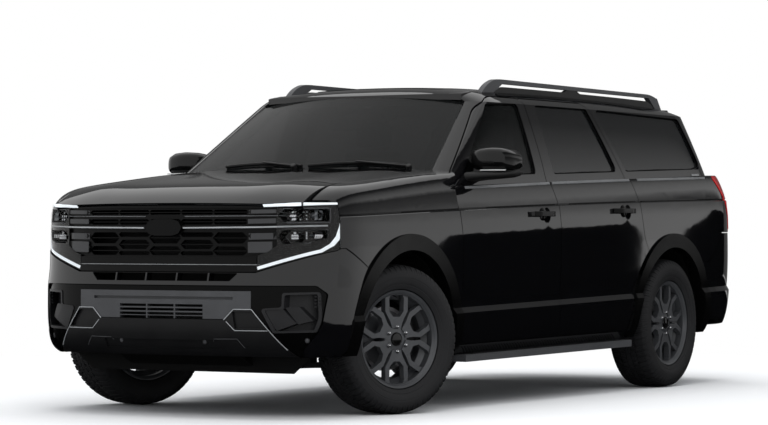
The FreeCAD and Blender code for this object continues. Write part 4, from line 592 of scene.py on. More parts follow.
# Name, nodes below, width, height, look, body and points of each trim line
NOSE_LINES = (
    ("hood_light_edge", "hood", 0.018, 0.003, LIT, "hood", [(0.607, 1.134), (0.803, 1.141)]),
    # This line and the next are painted highlights in lighter grey along the grille.
    ("grille_highlight_line", NOSE, 0.0085, 0.004, EDGE_HIGHLIGHT, "root",
     [(0.128, 1.0165), (0.595, 1.020), (0.905, 1.0275)]),
    ("grille_thin_highlight", NOSE, 0.005, 0.003, WEB_EDGE_HIGHLIGHT, "root", [(0.128, 1.078), (0.700, 1.081)]),
    ("tow_cover_lines", "skid_plate front_bumper", 0.003, 0.0008, GREY_TRIM, "root",
     [(0.323, 0.413), (0.335, 0.427), (0.474, 0.429), (0.512, 0.380)]))
SKID_LINES = ([(0.735, 0.372), (0.655, 0.4710), (0.560, 0.5860), (0.458, 0.5860), (0.400, 0.5300)],
              [(0.414, 0.521), (0.463, 0.4735), (0.646, 0.4735)])
GRILLE_BLADES = ((1.1005, 0.021), (1.050, 0.026), (0.9695, 0.034), (0.912, 0.058))  # z and height
AIR_DAM = [(-0.66, 0.0), (0.66, 0.0), (0.88, 0.18), (-0.88, 0.18)]
LAMP_FRAMES = ([(0.680, 1.081), (0.710, 1.119), (0.913, 1.121), (0.917, 1.045), (0.721, 1.042)],
               [(0.681, 0.968), (0.711, 1.003), (0.910, 1.007), (0.903, 0.963), (0.834, 0.934),
                (0.711, 0.931)])
LAMP_CELLS = ((0.819, 1.082, 0.014), (0.812, 0.976, 0.008))  # x, z and radius
# Left, right, bottom and top of each reflector, with its columns and rows of facets
REFLECTORS = ((0.731, 0.796, 1.056, 1.109, 5, 3), (0.739, 0.798, 0.955, 0.996, 4, 3),
              (0.824, 0.884, 0.961, 0.995, 5, 1))
SIDE_REFLECTOR = (0.841, 0.898, 1.058, 1.109, 3, 2)
FACET_BOW = 0.006
# The rays' grid over the lamps: x and z of its start, step and counts; the lenses run rearwards by the slope
LENS_START, LENS_STEP, LENS_CELLS, LENS_SLOPE = (0.560, 0.780), 0.006, (75, 64), 0.42
SENSOR_RADIUS = 0.0105
SENSOR_RIM = [(0.0, 0.0110), (0.0045, 0.0115), (0.0050, 0.0135), (0.0, 0.0145)]


def make_nose_lines():
    for name, names, width, height, look, body, line in NOSE_LINES:
        put(name, both(line_on(line, names, width, height)), look, body)
    # Light strips along the skid plate's edges: a painted highlight.
    put("skid_edge_highlights", both(merge([line_on(line, "skid_plate", 0.0045, 0.0016) for line in SKID_LINES])), EDGE_HIGHLIGHT)
    # A light strip along the grille frame's lower bar: a painted highlight.
    low = [(x, 0.8215) for x in (-0.590, 0.590)]
    put("grille_frame_highlight", line_on(low, "grille headlamps", 0.0035, 0.0016), EDGE_HIGHLIGHT)
    blades = [line_on([(0.520, z + 0.001), (0.692, z + 0.004)], "grille", height, 0.002)
              for z, height in GRILLE_BLADES]
    put("grille_blades", both(merge(blades)), BLADE)
    # The air dam's near-black is partly painted shade under the bumper.
    put("air_dam", slab(AIR_DAM, 0.008, at(0, -2.47, 0.238) @ turned(90, "X")), BLACK_AND_RECESS_SHADE)


def ray_sheet(names, lift, jump):
    """A smooth sheet over what rays along Y meet, left open where the surface steps."""
    grid = {}
    for i in range(LENS_CELLS[0]):
        for j in range(LENS_CELLS[1]):
            found = meet(names, ahead(LENS_START[0] + LENS_STEP * i, LENS_START[1] + LENS_STEP * j))
            if found:
                grid[i, j] = found[0] - Vector((0, lift, 0))
    cells = []
    for i, j in grid:
        ring = [(i, j), (i + 1, j), (i + 1, j + 1), (i, j + 1)]
        if all(key in grid for key in ring):
            ys = [grid[key].y - LENS_SLOPE * (grid[key].x - grid[i, j].x) for key in ring]
            if max(ys) - min(ys) < jump:
                cells.append(ring)
    used = {key: k for k, key in enumerate(dict.fromkeys(key for ring in cells for key in ring))}
    return [grid[key] for key in used], [tuple(used[key] for key in ring) for ring in cells]


def make_lens_covers():
    """Even skins over the lamp lenses, and over the flush part of the lamp cases."""
    lenses = put_pair("lens_skin", ray_sheet("headlamp_lenses", 0.0, 0.02), LENS, "root", 80)
    for lens in lenses:
        lens.modifiers.new("Thickness", "SOLIDIFY").thickness = 0.002
    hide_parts("headlamp_lenses")
    put_pair("case_skin", ray_sheet("headlamps", 0.0006, 0.006), GLOSS, "root", 80)


def lamp_cell(x, z, radius):
    """A projector: a bright ring and a clear dome."""
    place = at(*(find("headlamps", ahead(x, z))[0] + Vector((0, -0.002, 0)))) @ turned(-90, "Z")
    ring = [(0.0, 1.16), (0.016, 1.22), (0.020, 1.16), (0.016, 1.0), (0.0, 0.94)]
    glass = [(0.006, 1.0), (0.016, 0.93), (0.024, 0.72), (0.029, 0.4), (0.0305, 0.0)]
    return (lathe([(out, radius * share) for out, share in ring], place, 40),
            lathe([(out, radius * share) for out, share in glass], place, 40, False))


def facets(x0, x1, z0, z1, columns, rows):
    """A reflector of many small curved mirrors."""
    parts = []
    shares = spaced(0, 1, 3)
    xs, zs = spaced(x0, x1, columns), spaced(z0, z1, rows)
    for xa, xb in zip(xs, xs[1:]):
        for za, zb in zip(zs, zs[1:]):
            centre = meet("headlamps", ahead((xa + xb) / 2, (za + zb) / 2))
            if centre:
                y = centre[0].y - 0.004
                verts = [Vector((mix(xa, xb, a), y - 4 * FACET_BOW * ((a - 0.5) ** 2 + (b - 0.5) ** 2),
                                 mix(za, zb, b))) for a in shares for b in shares]
                parts.append((verts, grid_faces(4, 4)))
    return merge(parts)


def make_lamp_cells():
    rings, domes = zip(*(lamp_cell(*cell) for cell in LAMP_CELLS))
    put("lamp_rings", both(merge(rings)), CHROME)
    put("lamp_projectors", both(merge(domes)), PROJECTOR)
    put("lamp_reflectors", both(merge([facets(*room) for room in REFLECTORS])), CHROME)
    put("lamp_side_reflectors", both(facets(*SIDE_REFLECTOR)), PROJECTOR)
    frames = [sweep(*traced(ahead, dense(shrunk(outline, 0.003), 0.008, True), "headlamps"),
                    flat_section(0.006, 0.003, 0.002, 0.001), True) for outline in LAMP_FRAMES]
    put("lamp_bezels", both(merge(frames)), GREY_TRIM)


def make_nose_sensors():
    sensors, rims = [], []
    for x, z in ((0.271, 0.412), (0.828, 0.423)):
        place, normal = find(NOSE, ahead(x, z))
        seat = facing((place - normal * 0.002, normal))
        sensors.append(slab(circle(SENSOR_RADIUS, 24), 0.004, seat, 0.001))
        rims.append(lathe(SENSOR_RIM, seat @ LATHE_UP, 28))
    put("park_sensors", both(merge(sensors)), GREY_TRIM)
    put("park_sensor_rims", both(merge(rims)), TRIM)


def make_fog_louvres():
    fins = []
    for k in range(7):
        z = 0.604 + 0.0085 * k
        found = traced(ahead, dense([(0.864, z), (0.889, z)], 0.008), "fog_bezels bumper_mask front_bumper")
        fins.append(sweep(*found, flat_section(0.004, 0.004, 0.004, 0.001)))
    put("fog_louvres", both(merge(fins)), TRIM)


def make_washer_jets():
    jets = []
    for x in (-0.36, 0.36):
        place = facing(find("hood cowl", above(x, -1.36, 2.4)), (0, -1, 0))
        jets.append(plate(0.030, 0.014, 0.006, 0.007, place, 0.003))
    put("washer_jets", merge(jets), TRIM, "hood")


# Windscreen

def on_screen(points, lift=0.0):
    """(x, k) points on the windscreen, k being the share of its height."""
    low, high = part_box("windscreen")
    return traced(lambda x, k: ((x, -3.0, mix(low[2] + 0.02, high[2] - 0.02, k)), (0, 1, 0)), points,
                  "windscreen", lift)


WIPER_SPANS = ((0.66, 0.06), (0.02, -0.54))  # x of each blade's two ends
WIPER_FOOT = [(0.0, 0.0), (0.0, 0.017), (0.034, 0.016), (0.038, 0.012), (0.039, 0.0)]
BLADE_SECTION = [(-0.004, -0.009), (-0.006, 0.002), (-0.002, 0.009), (0.002, 0.009), (0.006, 0.002),
                 (0.004, -0.009)]


def make_wipers():
    """Two parked wipers low on the windscreen, each arm nearly in line with its blade."""
    arms, blades = [], []
    for start, end in WIPER_SPANS:
        line = [(mix(start, end, t), 0.030 + 0.035 * math.sin(math.pi * t)) for t in spaced(0, 1, 16)]
        blades.append(strip(on_screen(line, 0.010), BLADE_SECTION))
        places, normals = on_screen([(mix(start + 0.03, (start + end) / 2, t), mix(-0.010, 0.062, t))
                                     for t in spaced(0, 1, 4)], 0.022)
        arms.append(strip((places, normals), flat_section(0.011, 0.006, 0.003, 0.002)))
        arms.append(dome(WIPER_FOOT, facing((places[0] - normals[0] * 0.030, normals[0])), 24))
    put("wiper_arms", merge(arms), WIPER)
    put("wiper_blades", merge(blades), WIPER)


def screen_band(outer, inner):
    """A band just inside the windscreen between two lines of (x, k)."""
    lines = [on_screen(line)[0] for line in (outer, inner)]
    count = min(len(line) for line in lines)
    verts = [p + Vector((0, 0.009, -0.006)) for line in lines for p in line[:count]]
    return verts, [(i, i + 1, count + i + 1, count + i) for i in range(count - 1)]


def make_screen_border():
    """The black border printed inside the windscreen, with the sensor's field at its top."""
    edge = [(mix(0.755, 0.618, k), k) for k in spaced(0, 1, 40)]
    parts = [screen_band([(s * (x + 0.012), k) for x, k in edge], [(s * (x - 0.022), k) for x, k in edge])
             for s in (-1, 1)]
    low, high = spaced(-0.76, 0.76, 60), spaced(-0.60, 0.60, 60)
    parts.append(screen_band([(x, -0.02) for x in low], [(x, 0.055) for x in low]))
    parts.append(screen_band([(x, 1.0) for x in high],
                             [(x, 0.94 - 0.14 * math.exp(-(x / 0.075) ** 4)) for x in high]))
    put("windscreen_border", merge([p for p in parts if len(p[0]) > 3]), BLACK_AND_RECESS_SHADE)


# Sides, their lines as (y, z) points of the left side

BELT = [(-1.228, 1.2470), (-0.80, 1.2620), (-0.10, 1.2890), (0.60, 1.3120), (1.04, 1.3250), (1.60, 1.3400),
        (2.085, 1.3530)]
# Trim along the belt, its light grey a painted highlight of its top edge: name, ends in y, node below and
# body
BELT_TRIMS = (("front", -1.16, -0.132, "front_door_left", "front_door_left"),
              ("rear", -0.100, 0.975, "rear_door_left", "rear_door_left"),
              ("quarter", 1.06, 2.08, "body_side_left", "root"))
# Window seals: name, pane and body
SEALS = (("front_window_seal", "front_door_glass_left", "front_door_left"),
         ("rear_window_seal", "rear_door_glass_left", "rear_door_left"),
         ("quarter_seal", "quarter_glass", "root"))
# Door handles: door, ends in y and height
GRIPS = (("front_door_left", -0.430, -0.160, 1.1010), ("rear_door_left", 0.648, 0.912, 1.1250))
# Dark strips along the groove below the belt, a painted shade: name, ends in y, node below and body
GROOVES = (("fender", -1.90, -0.985, "fenders", "root"),
           ("front_door", -0.955, 0.040, "front_door_left", "front_door_left"),
           ("rear_door", 0.070, 0.980, "rear_door_left", "rear_door_left"),
           ("quarter", 1.02, 2.13, "body_side_left", "root"))


def belt_z(y):
    for (a, za), (b, zb) in zip(BELT, BELT[1:]):
        if a <= y <= b:
            return mix(za, zb, (y - a) / (b - a))
    return BELT[0][1] if y < BELT[0][0] else BELT[-1][1]


def groove_z(y):
    return 1.161 + 0.0265 * y - 0.0024 * y * y


def side_strip(y0, y1, height, names, width, proud):
    line = [(y, height(y)) for y in spaced(y0, y1, max(4, int((y1 - y0) / 0.03)))]
    return strip(traced(beside, line, names), flat_section(width, proud))


NEAR_SIDE, EDGE_MARGIN = 1.5, 0.004  # a ray that goes further meets the far side's pane


def pane_edge(name, view, u, v, count, reach, rounds):
    """The outline of a pane round a point of a view, a little inside its edge, halved down to by rays."""
    out = []
    for k in range(count):
        du, dv = math.cos(2 * math.pi * k / count), math.sin(2 * math.pi * k / count)
        low, high = 0.0, reach
        for _ in range(rounds):
            middle = (low + high) / 2
            ray = view(u + du * middle, v + dv * middle)
            found = meet(name, ray)
            near = found and (found[0] - Vector(ray[0])).length < NEAR_SIDE
            low, high = (middle, high) if near else (low, middle)
        out.append((u + du * (low - EDGE_MARGIN), v + dv * (low - EDGE_MARGIN)))
    return out


def window_seal(name):
    points = [(v.co.y, v.co.z) for v in NODES[name].data.vertices if v.co.x > 0]
    heights = [z for _, z in points]
    middle = sum(y for y, _ in points) / len(points), (min(heights) + max(heights)) / 2
    edge = pane_edge(name, beside, *middle, count=96, reach=1.3, rounds=16)
    line = dense(curved(edge, 1, True), closed=True)
    return strip(traced(beside, line, name), flat_section(0.009, 0.004, 0.003), True)


def make_side_trim():
    for name, y0, y1, skin, body in BELT_TRIMS:
        put_pair("belt_trim_highlight_" + name, side_strip(y0, y1, lambda y: belt_z(y) - 0.004, skin, 0.016, 0.0035),
                 BELT_TRIM_HIGHLIGHT, body)
    for name, pane, body in SEALS:
        put_pair(name, window_seal(pane), SEAL, body)
    quarter_strip = side_strip(1.965, 2.085, lambda y: belt_z(y) + 0.016, "body_side_left", 0.016, 0.004)
    put_pair("quarter_plate", quarter_strip, BRIGHT)
    for name, y0, y1, skin, body in GROOVES:
        # Dark strips along the side groove: a painted shade.
        put_pair("groove_shade_" + name, side_strip(y0, y1, groove_z, skin, 0.007, 0.001), MASK_AND_GROOVE_SHADE, body)


def make_door_handles():
    for door, y0, y1, z in GRIPS:
        middle = (y0 + y1) / 2
        place, normal = find(door, beside(middle, z - 0.034))
        cup = facing((Vector((place.x, middle, z - 0.002)), normal))
        put_pair(door.replace("_left", "_cup"), slab(circle(0.038, 24), 0.003, cup, 0.001), HANDLE, door)
        grip = line_on([(y0, z), (y1, z)], door, 0.030, 0.006, beside)
        put_pair(door.replace("_left", "_grip"), grip, HANDLE, door)


def make_rail_bases():
    """The low bar under each roof rail, with the middle foot that joins them."""
    low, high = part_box("roof_rails")
    under = [x for x in spaced(0.55, 0.80, 29) if meet("roof_rails", above(x, 0.6))]
    middle = (under[0] + under[-1]) / 2
    rings = []
    for y in spaced(low[1] + 0.10, high[1] - 0.10, 40):
        rail, roof = meet("roof_rails", below(middle, y)), meet("roof_panel body_side_left", above(middle, y))
        if rail and roof:
            top, base = rail[0].z + 0.003, roof[0].z - 0.006
            if not 0.62 < y < 0.80:
                top = min(top, mix(roof[0].z, rail[0].z, 0.62))
            rings.append([Vector((middle + x, y, z)) for x, z in ((-0.013, base), (0.013, base), (0.011, top),
                                                                  (-0.011, top))])
    put("rail_bases", both(loft(rings)), WIPER)


def make_board_treads():
    ribs = []
    for y in spaced(-1.10, 0.80, 57):
        ends = traced(lambda x: above(x, y, 1.0), [(0.885,), (0.985,)], "running_boards")[0]
        ribs.append(sweep(ends, [Vector((0, 0, 1))] * 2, flat_section(0.012, 0.003, 0.001, 0.001)))
    put("board_treads", both(merge(ribs)), TREAD)


def soft_ring(x, y0, y1, z0, z1):
    """A ring across X with soft corners."""
    soft = [[math.copysign(abs(c) ** (2 / 3.2), c) for c in point] for point in circle(1.0, 36)]
    return [Vector((x, mix(y0, y1, (1 + c) / 2), mix(z0, z1, (1 + q) / 2))) for c, q in soft]


# Rings of the mirrors' heads and arms from the door outwards: x, ends in y, ends in z
HEAD_RINGS = [(0.925, -0.985, -0.925, 1.378, 1.432), (0.932, -1.020, -0.905, 1.358, 1.452),
              (0.955, -1.045, -0.890, 1.348, 1.466), (1.000, -1.060, -0.878, 1.344, 1.474),
              (1.060, -1.064, -0.866, 1.342, 1.477), (1.120, -1.056, -0.858, 1.342, 1.472),
              (1.155, -1.038, -0.853, 1.345, 1.458), (1.174, -1.012, -0.853, 1.352, 1.440),
              (1.184, -0.975, -0.862, 1.364, 1.420)]
BASE_RINGS = [(0.880, -1.130, -0.960, 1.272, 1.332), (0.930, -1.110, -0.930, 1.280, 1.336),
              (1.000, -1.085, -0.900, 1.290, 1.341), (1.080, -1.065, -0.875, 1.297, 1.341),
              (1.140, -1.040, -0.862, 1.303, 1.341), (1.168, -1.010, -0.858, 1.312, 1.341),
              (1.178, -0.975, -0.866, 1.322, 1.341)]


def make_mirrors():
    door = "front_door_left"
    head, base = (loft([soft_ring(*ring) for ring in rings]) for rings in (HEAD_RINGS, BASE_RINGS))
    caps = put_pair("mirror_cap", head, GLOSS, door, 50)
    for cap, side in zip(caps, SIDES):
        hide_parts("mirror_" + side)
    put_pair("mirror_base", base, WIPER, door, 50)
    path = [Vector((x, -0.990 - 0.066 * (1 - ((x - 1.04) / 0.15) ** 2 * 0.5), 1.3455))
            for x in spaced(1.01, 1.160, 14)]
    lamp = sweep(path, [Vector((0, -1, 0))] * len(path), flat_section(0.007, 0.006, 0.020, 0.001))
    put_pair("mirror_lamp", lamp, LIT_EDGE, door)
    outline = round_outline(0.185, 0.100, 0.030, 6)
    place = facing(((1.063, -0.8690, 1.411), (-0.18, 0.984, 0)))
    put_pair("mirror_glass", slab(outline, 0.006, place, 0.001), CHROME, door)
    put_pair("mirror_rim", slab([(x * 1.03, z * 1.05) for x, z in outline], 0.0035, place, 0.001), TRIM, door)


# Rear

GATE, GLASS, BUMPER, TAIL_LAMP = "liftgate", "liftgate_glass", "rear_bumper", "tail_lamps"
REAR_BLADE = [(-0.005, -0.008), (-0.008, 0.006), (0.008, 0.006), (0.005, -0.008)]
REAR_HUB = [(-0.004, 0.0), (-0.004, 0.021), (0.018, 0.019), (0.022, 0.014), (0.023, 0.0)]
LAMP_SIDE = [(2.215, 1.345), (2.345, 1.225), (2.440, 1.090), (2.462, 1.015)]
# Level lines across the rear: name, half length, z, node below, width, height, look and body
REAR_LINES = (("gate_band", 0.66, 1.115, GATE, 0.075, 0.010, GLOSS, GATE),
              # A light strip along the band's upper edge: a painted highlight.
              ("gate_band_highlight", 0.60, 1.158, GATE, 0.008, 0.012, EDGE_HIGHLIGHT, GATE),
              ("third_brake_light", 0.17, 1.773, GATE, 0.020, 0.007, RED_LENS, GATE),
              ("rear_low_trim", 0.60, 0.470, BUMPER, 0.090, 0.006, TRIM, "root"))


def make_gate_details():
    for name, half, z, names, width, height, look, body in REAR_LINES:
        put(name, line_on([(-half, z), (half, z)], names, width, height, behind), look, body)
    place = facing(find(GATE, behind(0, 0.985)))
    put("rear_plate_well", plate(0.62, 0.20, 0.03, 0.004, place, 0.003), TRIM, GATE)
    put("rear_plate", plate(0.52, 0.12, 0.012, 0.009, place), PLATE, GATE)
    screws = [slab(circle(0.006, 12), 0.0115, place @ at(x, 0.045, 0)) for x in (-0.2, 0.2)]
    put("rear_plate_screws", merge(screws), CHROME, GATE)
    handle = plate(0.17, 0.028, 0.010, 0.012, facing(find(GATE, behind(0, 1.070))), 0.004)
    put("gate_handle", handle, TRIM, GATE)


def make_gate_window():
    edge = pane_edge(GLASS, behind, 0.0, 1.57, count=88, reach=1.0, rounds=14)
    seal = strip(traced(behind, edge, GLASS), flat_section(0.018, 0.004, 0.003, 0.002), True)
    put("gate_window_seal", seal, SEAL, GATE)
    blade = traced(behind, dense([(0.03, 1.455), (0.20, 1.447), (0.43, 1.440)], 0.03), GLASS, 0.010)
    put("rear_wiper_blade", strip(blade, REAR_BLADE), WIPER, GATE)
    pivot, end = find(GATE, behind(0.0, 1.385)), find(GLASS, behind(0.23, 1.452))
    path = curved([pivot[0] + Vector((0, 0.016, 0)), pivot[0].lerp(end[0], 0.5) + Vector((0, 0.030, 0)),
                   end[0] + Vector((0, 0.020, 0))])
    arm = sweep(path, [Vector((0, 1, 0.2))] * len(path), flat_section(0.016, 0.006, 0.003, 0.002))
    put("rear_wiper_arm", merge([arm, dome(REAR_HUB, facing(pivot), 28)]), WIPER, GATE)


def make_step_pad():
    """Pads along the middle of the bumper's flat top."""
    def top(x, y):
        found = meet(BUMPER, above(x, y, 1.6))
        return found if found and found[1].z > 0.7 else None
    rows = [y for y in (2.56 + 0.01 * k for k in range(20)) if top(0.2, y)]
    found = [top(x, (rows[0] + rows[-1]) / 2) for x in spaced(-0.62, 0.62, 10)]
    put("rear_step_pad", merge([plate(0.100, 0.030, 0.006, 0.003, facing(hit, (0, 1, 0)), 0.001)
                                for hit in found if hit]), TREAD)


def make_rear_bumper_details():
    reflector = line_on([(0.66, 0.560), (0.83, 0.560)], BUMPER, 0.030, 0.005, behind)
    put("rear_reflectors", both(reflector), RED_LENS)
    make_step_pad()
    sensors = [slab(circle(SENSOR_RADIUS, 24), 0.003, facing(find(BUMPER, behind(x, 0.640))), 0.001)
               for x in (0.27, 0.70)]
    put("rear_park_sensors", both(merge(sensors)), GREY_TRIM)


def make_tail_lamp_parts():
    """Light bars on the red lens and the reversing lamps."""
    bar = strip(traced(beside, dense(LAMP_SIDE), TAIL_LAMP), flat_section(0.010, 0.0035, 0.002, 0.001))
    put("tail_lamp_bars", both(bar), RED_LIT)
    rows = [strip(traced(behind, dense([(0.80, z), (0.885, z)], 0.01), TAIL_LAMP),
                  flat_section(0.016, 0.003, 0.002, 0.001)) for z in (1.045 + 0.055 * k for k in range(5))]
    put("tail_lamp_rows", both(merge(rows)), RED_LIT)
    white = strip(traced(behind, dense([(0.80, 1.325), (0.875, 1.325)], 0.01), TAIL_LAMP),
                  flat_section(0.030, 0.003, 0.002, 0.001))
    put("reversing_lamps", both(white), LENS_WHITE)


# Roof

def make_roof_glass():
    glass = [find("roof_panel", above(x, y))[0] + Vector((0, 0, 0.0022))
             for x in spaced(-0.41, 0.41, 12) for y in spaced(-0.50, 0.42, 10)]
    put("roof_glass", (glass, grid_faces(13, 11)), ROOF_GLASS)
    line = [(x, y - 0.04) for x, y in dense(round_outline(0.85, 0.95, 0.04, 4), 0.04, True)]
    seal = sweep(*traced(above, line, "roof_panel"), flat_section(0.014, 0.003, 0.002, 0.001), True)
    put("roof_glass_seal", seal, SEAL)


def make_aerial():
    """A fin of flat rings that narrow upwards."""
    rings = []
    top = find("roof_panel", above(0.0, 2.02))[0].z
    turns = [(1, math.pi * k / 12) for k in range(13)] + [(-1, math.pi * (12 - k) / 12) for k in range(1, 12)]
    for t in spaced(0, 1, 4):
        half = 0.034 * (1 - t) ** 0.7 + 0.002
        y0, y1 = mix(1.93, 2.045, t), mix(2.105, 2.090, t)
        rings.append([Vector((s * half * (0.35 + 0.65 * math.sin(b)), mix(y0, y1, (1 - math.cos(b)) / 2),
                              top - 0.004 + t * 0.046)) for s, b in turns])
    put("roof_aerial", loft(rings, False), GLOSS)


# Underneath

SPRINGS = ((FRONT_AXLE_Y, 0.590, 0.300, 0.545), (REAR_AXLE_Y + 0.06, 0.545, 0.470, 0.640))  # y, x, foot, head
SPRING_RADIUS, SPRING_WIRE, SPRING_TURNS, SPRING_STEPS = 0.052, 0.0075, 6, 108
DAMPER = ((0.0, 0.0), (0.0, 0.022), (0.6, 0.022), (0.6, 0.011), (1.0, 0.011), (1.0, 0.0))  # share and radius
EXHAUST_TIP = [(0.0, 0.026), (0.0, 0.034), (0.090, 0.037), (0.094, 0.034), (0.090, 0.031), (0.010, 0.028)]


def make_under_details():
    springs, shocks = [], []
    for y, x, z0, z1 in SPRINGS:
        turns = [2 * math.pi * SPRING_TURNS * t for t in spaced(0, 1, SPRING_STEPS)]
        coil = [Vector((x + SPRING_RADIUS * math.cos(a), y + SPRING_RADIUS * math.sin(a), mix(z0, z1, t)))
                for a, t in zip(turns, spaced(0, 1, SPRING_STEPS))]
        springs.append(pipe(coil, SPRING_WIRE, 8))
        shocks.append(dome([((z1 - z0) * share, radius) for share, radius in DAMPER], at(x, y, z0), 20))
    put("coil_springs", both(merge(springs)), IRON)
    put("shock_absorbers", both(merge(shocks)), DISC)
    _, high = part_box("exhaust")
    put("exhaust_tip", lathe(EXHAUST_TIP, at(-0.235, high[1] - 0.080, 0.326) @ turned(90, "Z"), 36), CHROME)


# Cabin

def pad(size, crown, radius, channels=(), cross=(), cuts=12, pinch=0.0):
    """A padded form about the origin with crowned faces, and sewn channels at shares of its half sizes."""
    half = [s / 2 for s in size]
    work = bmesh.new()
    bmesh.ops.create_cube(work, size=2.0)
    bmesh.ops.subdivide_edges(work, edges=work.edges, cuts=cuts, use_grid_fill=True)
    for v in work.verts:
        p = Vector(c * h for c, h in zip(v.co, half))
        core = Vector(max(radius - h, min(h - radius, c)) for c, h in zip(p, half))
        off = p - core
        if off.length > 1e-9:
            p = core + off.normalized() * radius
        u, q, share = (c / h for c, h in zip(p, half))
        p.z += crown * (1 - min(1, abs(u)) ** 2.6) * (1 - min(1, abs(q)) ** 2.6) * share
        for c in channels:
            p.z -= 0.0075 * math.exp(-((u - c) * half[0] / 0.006) ** 2) * share
        for c in cross:
            p.z -= 0.0070 * math.exp(-((q - c) * half[1] / 0.007) ** 2) * share
        p.x *= 1 - pinch * (1 - abs(q)) * 0.5
        v.co = p
    part = [v.co.copy() for v in work.verts], [tuple(v.index for v in f.verts) for f in work.faces]
    work.free()
    return part


def lean(part, place, degrees=0):
    return moved(part, at(*place) @ turned(degrees, "X"))


# Seats: middle x, front y, width and height of the cushion
SEATS = [(x, y, width, 0.925) for x in (-0.400, 0.400) for y, width in ((-0.520, 0.530), (0.420, 0.520))] + [
    (0.0, 1.290, 1.040, 0.935)]
CUSHION_TILT, BACK_TILT, HEAD_TILT = -3.5, 74, 82  # degrees
SEAT_BASE, CABIN_FLOOR = 0.155, 0.597  # the shells' foot below the cushion, the floor's height


def seat_pads(each):
    """Cushion, backrest, bolsters, shoulder pad and head restraint, each with its place and tilt."""
    inner = each * 0.60
    cushion = pad((inner, 0.44, 0.105), 0.012, 0.030, (-0.33, 0.33), (-0.4, 0.1, 0.55), 26)
    yield cushion, 0, 0.245, -0.058, CUSHION_TILT
    back = pad((inner, 0.54, 0.095), 0.012, 0.028, (-0.33, 0.33), (-0.6, -0.2, 0.2, 0.6), 26)
    yield back, 0, 0.553, 0.255, BACK_TILT
    for s in (-1, 1):
        yield pad((each * 0.19, 0.45, 0.125), 0.010, 0.036), s * each * 0.395, 0.245, -0.052, CUSHION_TILT
        yield pad((each * 0.18, 0.50, 0.110), 0.010, 0.034), s * each * 0.385, 0.545, 0.245, BACK_TILT
    yield pad((each * 0.74, 0.11, 0.085), 0.006, 0.030), 0, 0.622, 0.520, BACK_TILT
    yield pad((0.245, 0.145, 0.088), 0.008, 0.034, cuts=16, pinch=0.08), 0, 0.645, 0.672, HEAD_TILT


def seat_shell(x, y, width, z):
    """Back, base and rails below the pads."""
    back = at(x, y + 0.612, z + 0.25) @ turned(BACK_TILT, "X")
    parts = [plate(width - 0.03, 0.56, 0.06, 0.022, back, 0.008, 3),
             plate(width - 0.05, 0.40, 0.03, 0.05, at(x, y + 0.26, z - SEAT_BASE), 0.012, 3)]
    for s in (-1, 1):
        rail = at(x + s * (width / 2 - 0.09), y + 0.26, CABIN_FLOOR + 0.0005)
        parts.append(plate(0.045, 0.42, 0.008, z - SEAT_BASE - CABIN_FLOOR, rail, 0.003))
    return parts


def make_seats():
    pads, posts, shells = [], [], []
    for x, y, width, z in SEATS:
        inside = width - 0.02
        places = max(1, round(width / 0.56))
        each = inside / places
        shells += seat_shell(x, y, inside, z)
        for k in range(places):
            cx = x - inside / 2 + (k + 0.5) * each
            pads += [lean(part, (cx + dx, y + dy, z + dz), tilt)
                     for part, dx, dy, dz, tilt in seat_pads(each)]
            posts += [pipe([Vector((cx + s * 0.055, y + 0.648, z + 0.53)),
                            Vector((cx + s * 0.055, y + 0.650, z + 0.63))], 0.006, 12) for s in (-1, 1)]
    soft = put("seat_pads", merge(pads), LEATHER, "root", 60)
    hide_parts("seats")
    put("seat_posts", merge(posts), CHROME)
    put("seat_shells", merge(shells), CABIN)


STEERING_PLACE = at(0.400, -0.742, 1.130) @ turned(-66, "X")
# Outlines of the steering wheel's right spoke and its trim, and of the low spoke
SPOKE, SPOKE_TRIM, LOW_SPOKE = ([(0.060, 0.022), (0.172, 0.014), (0.172, -0.018), (0.060, -0.028)],
                                [(0.074, 0.010), (0.150, 0.006), (0.150, -0.008), (0.074, -0.014)],
                                [(-0.024, -0.050), (-0.014, -0.172), (0.014, -0.172), (0.024, -0.050)])
COLUMN = [(0.0, 0.0), (0.0, 0.036), (0.16, 0.034), (0.16, 0.0)]


def make_steering_wheel():
    rim = [Vector((*point, 0.0)) for point in circle(0.178, 72)]
    parts = [sweep(rim, [Vector((0, 0, 1))] * len(rim), circle(0.0155, 14, 0.0140), True),
             lean(pad((0.150, 0.120, 0.036), 0.008, 0.016), (0, -0.006, -0.004)),
             slab(LOW_SPOKE, 0.016, at(0, 0, -0.014), 0.005), dome(COLUMN, at(0, 0, -0.190), 28)]
    trim = []
    for s in (-1, 1):
        parts.append(slab([(s * x, y) for x, y in SPOKE], 0.018, at(0, 0, -0.014), 0.005))
        trim.append(slab([(s * x, y) for x, y in SPOKE_TRIM], 0.003, at(0, 0, 0.0045), 0.001))
    piece = put("steering_wheel_rim", moved(merge(parts), STEERING_PLACE), CABIN, "root", 40)
    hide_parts("steering_wheel")
    put("steering_wheel_trim", moved(merge(trim), STEERING_PLACE), BRIGHT)


def towards_front(x, z):
    """A ray in the cabin that meets the dashboard."""
    return (x, 0.3, z), (0, -1, 0)


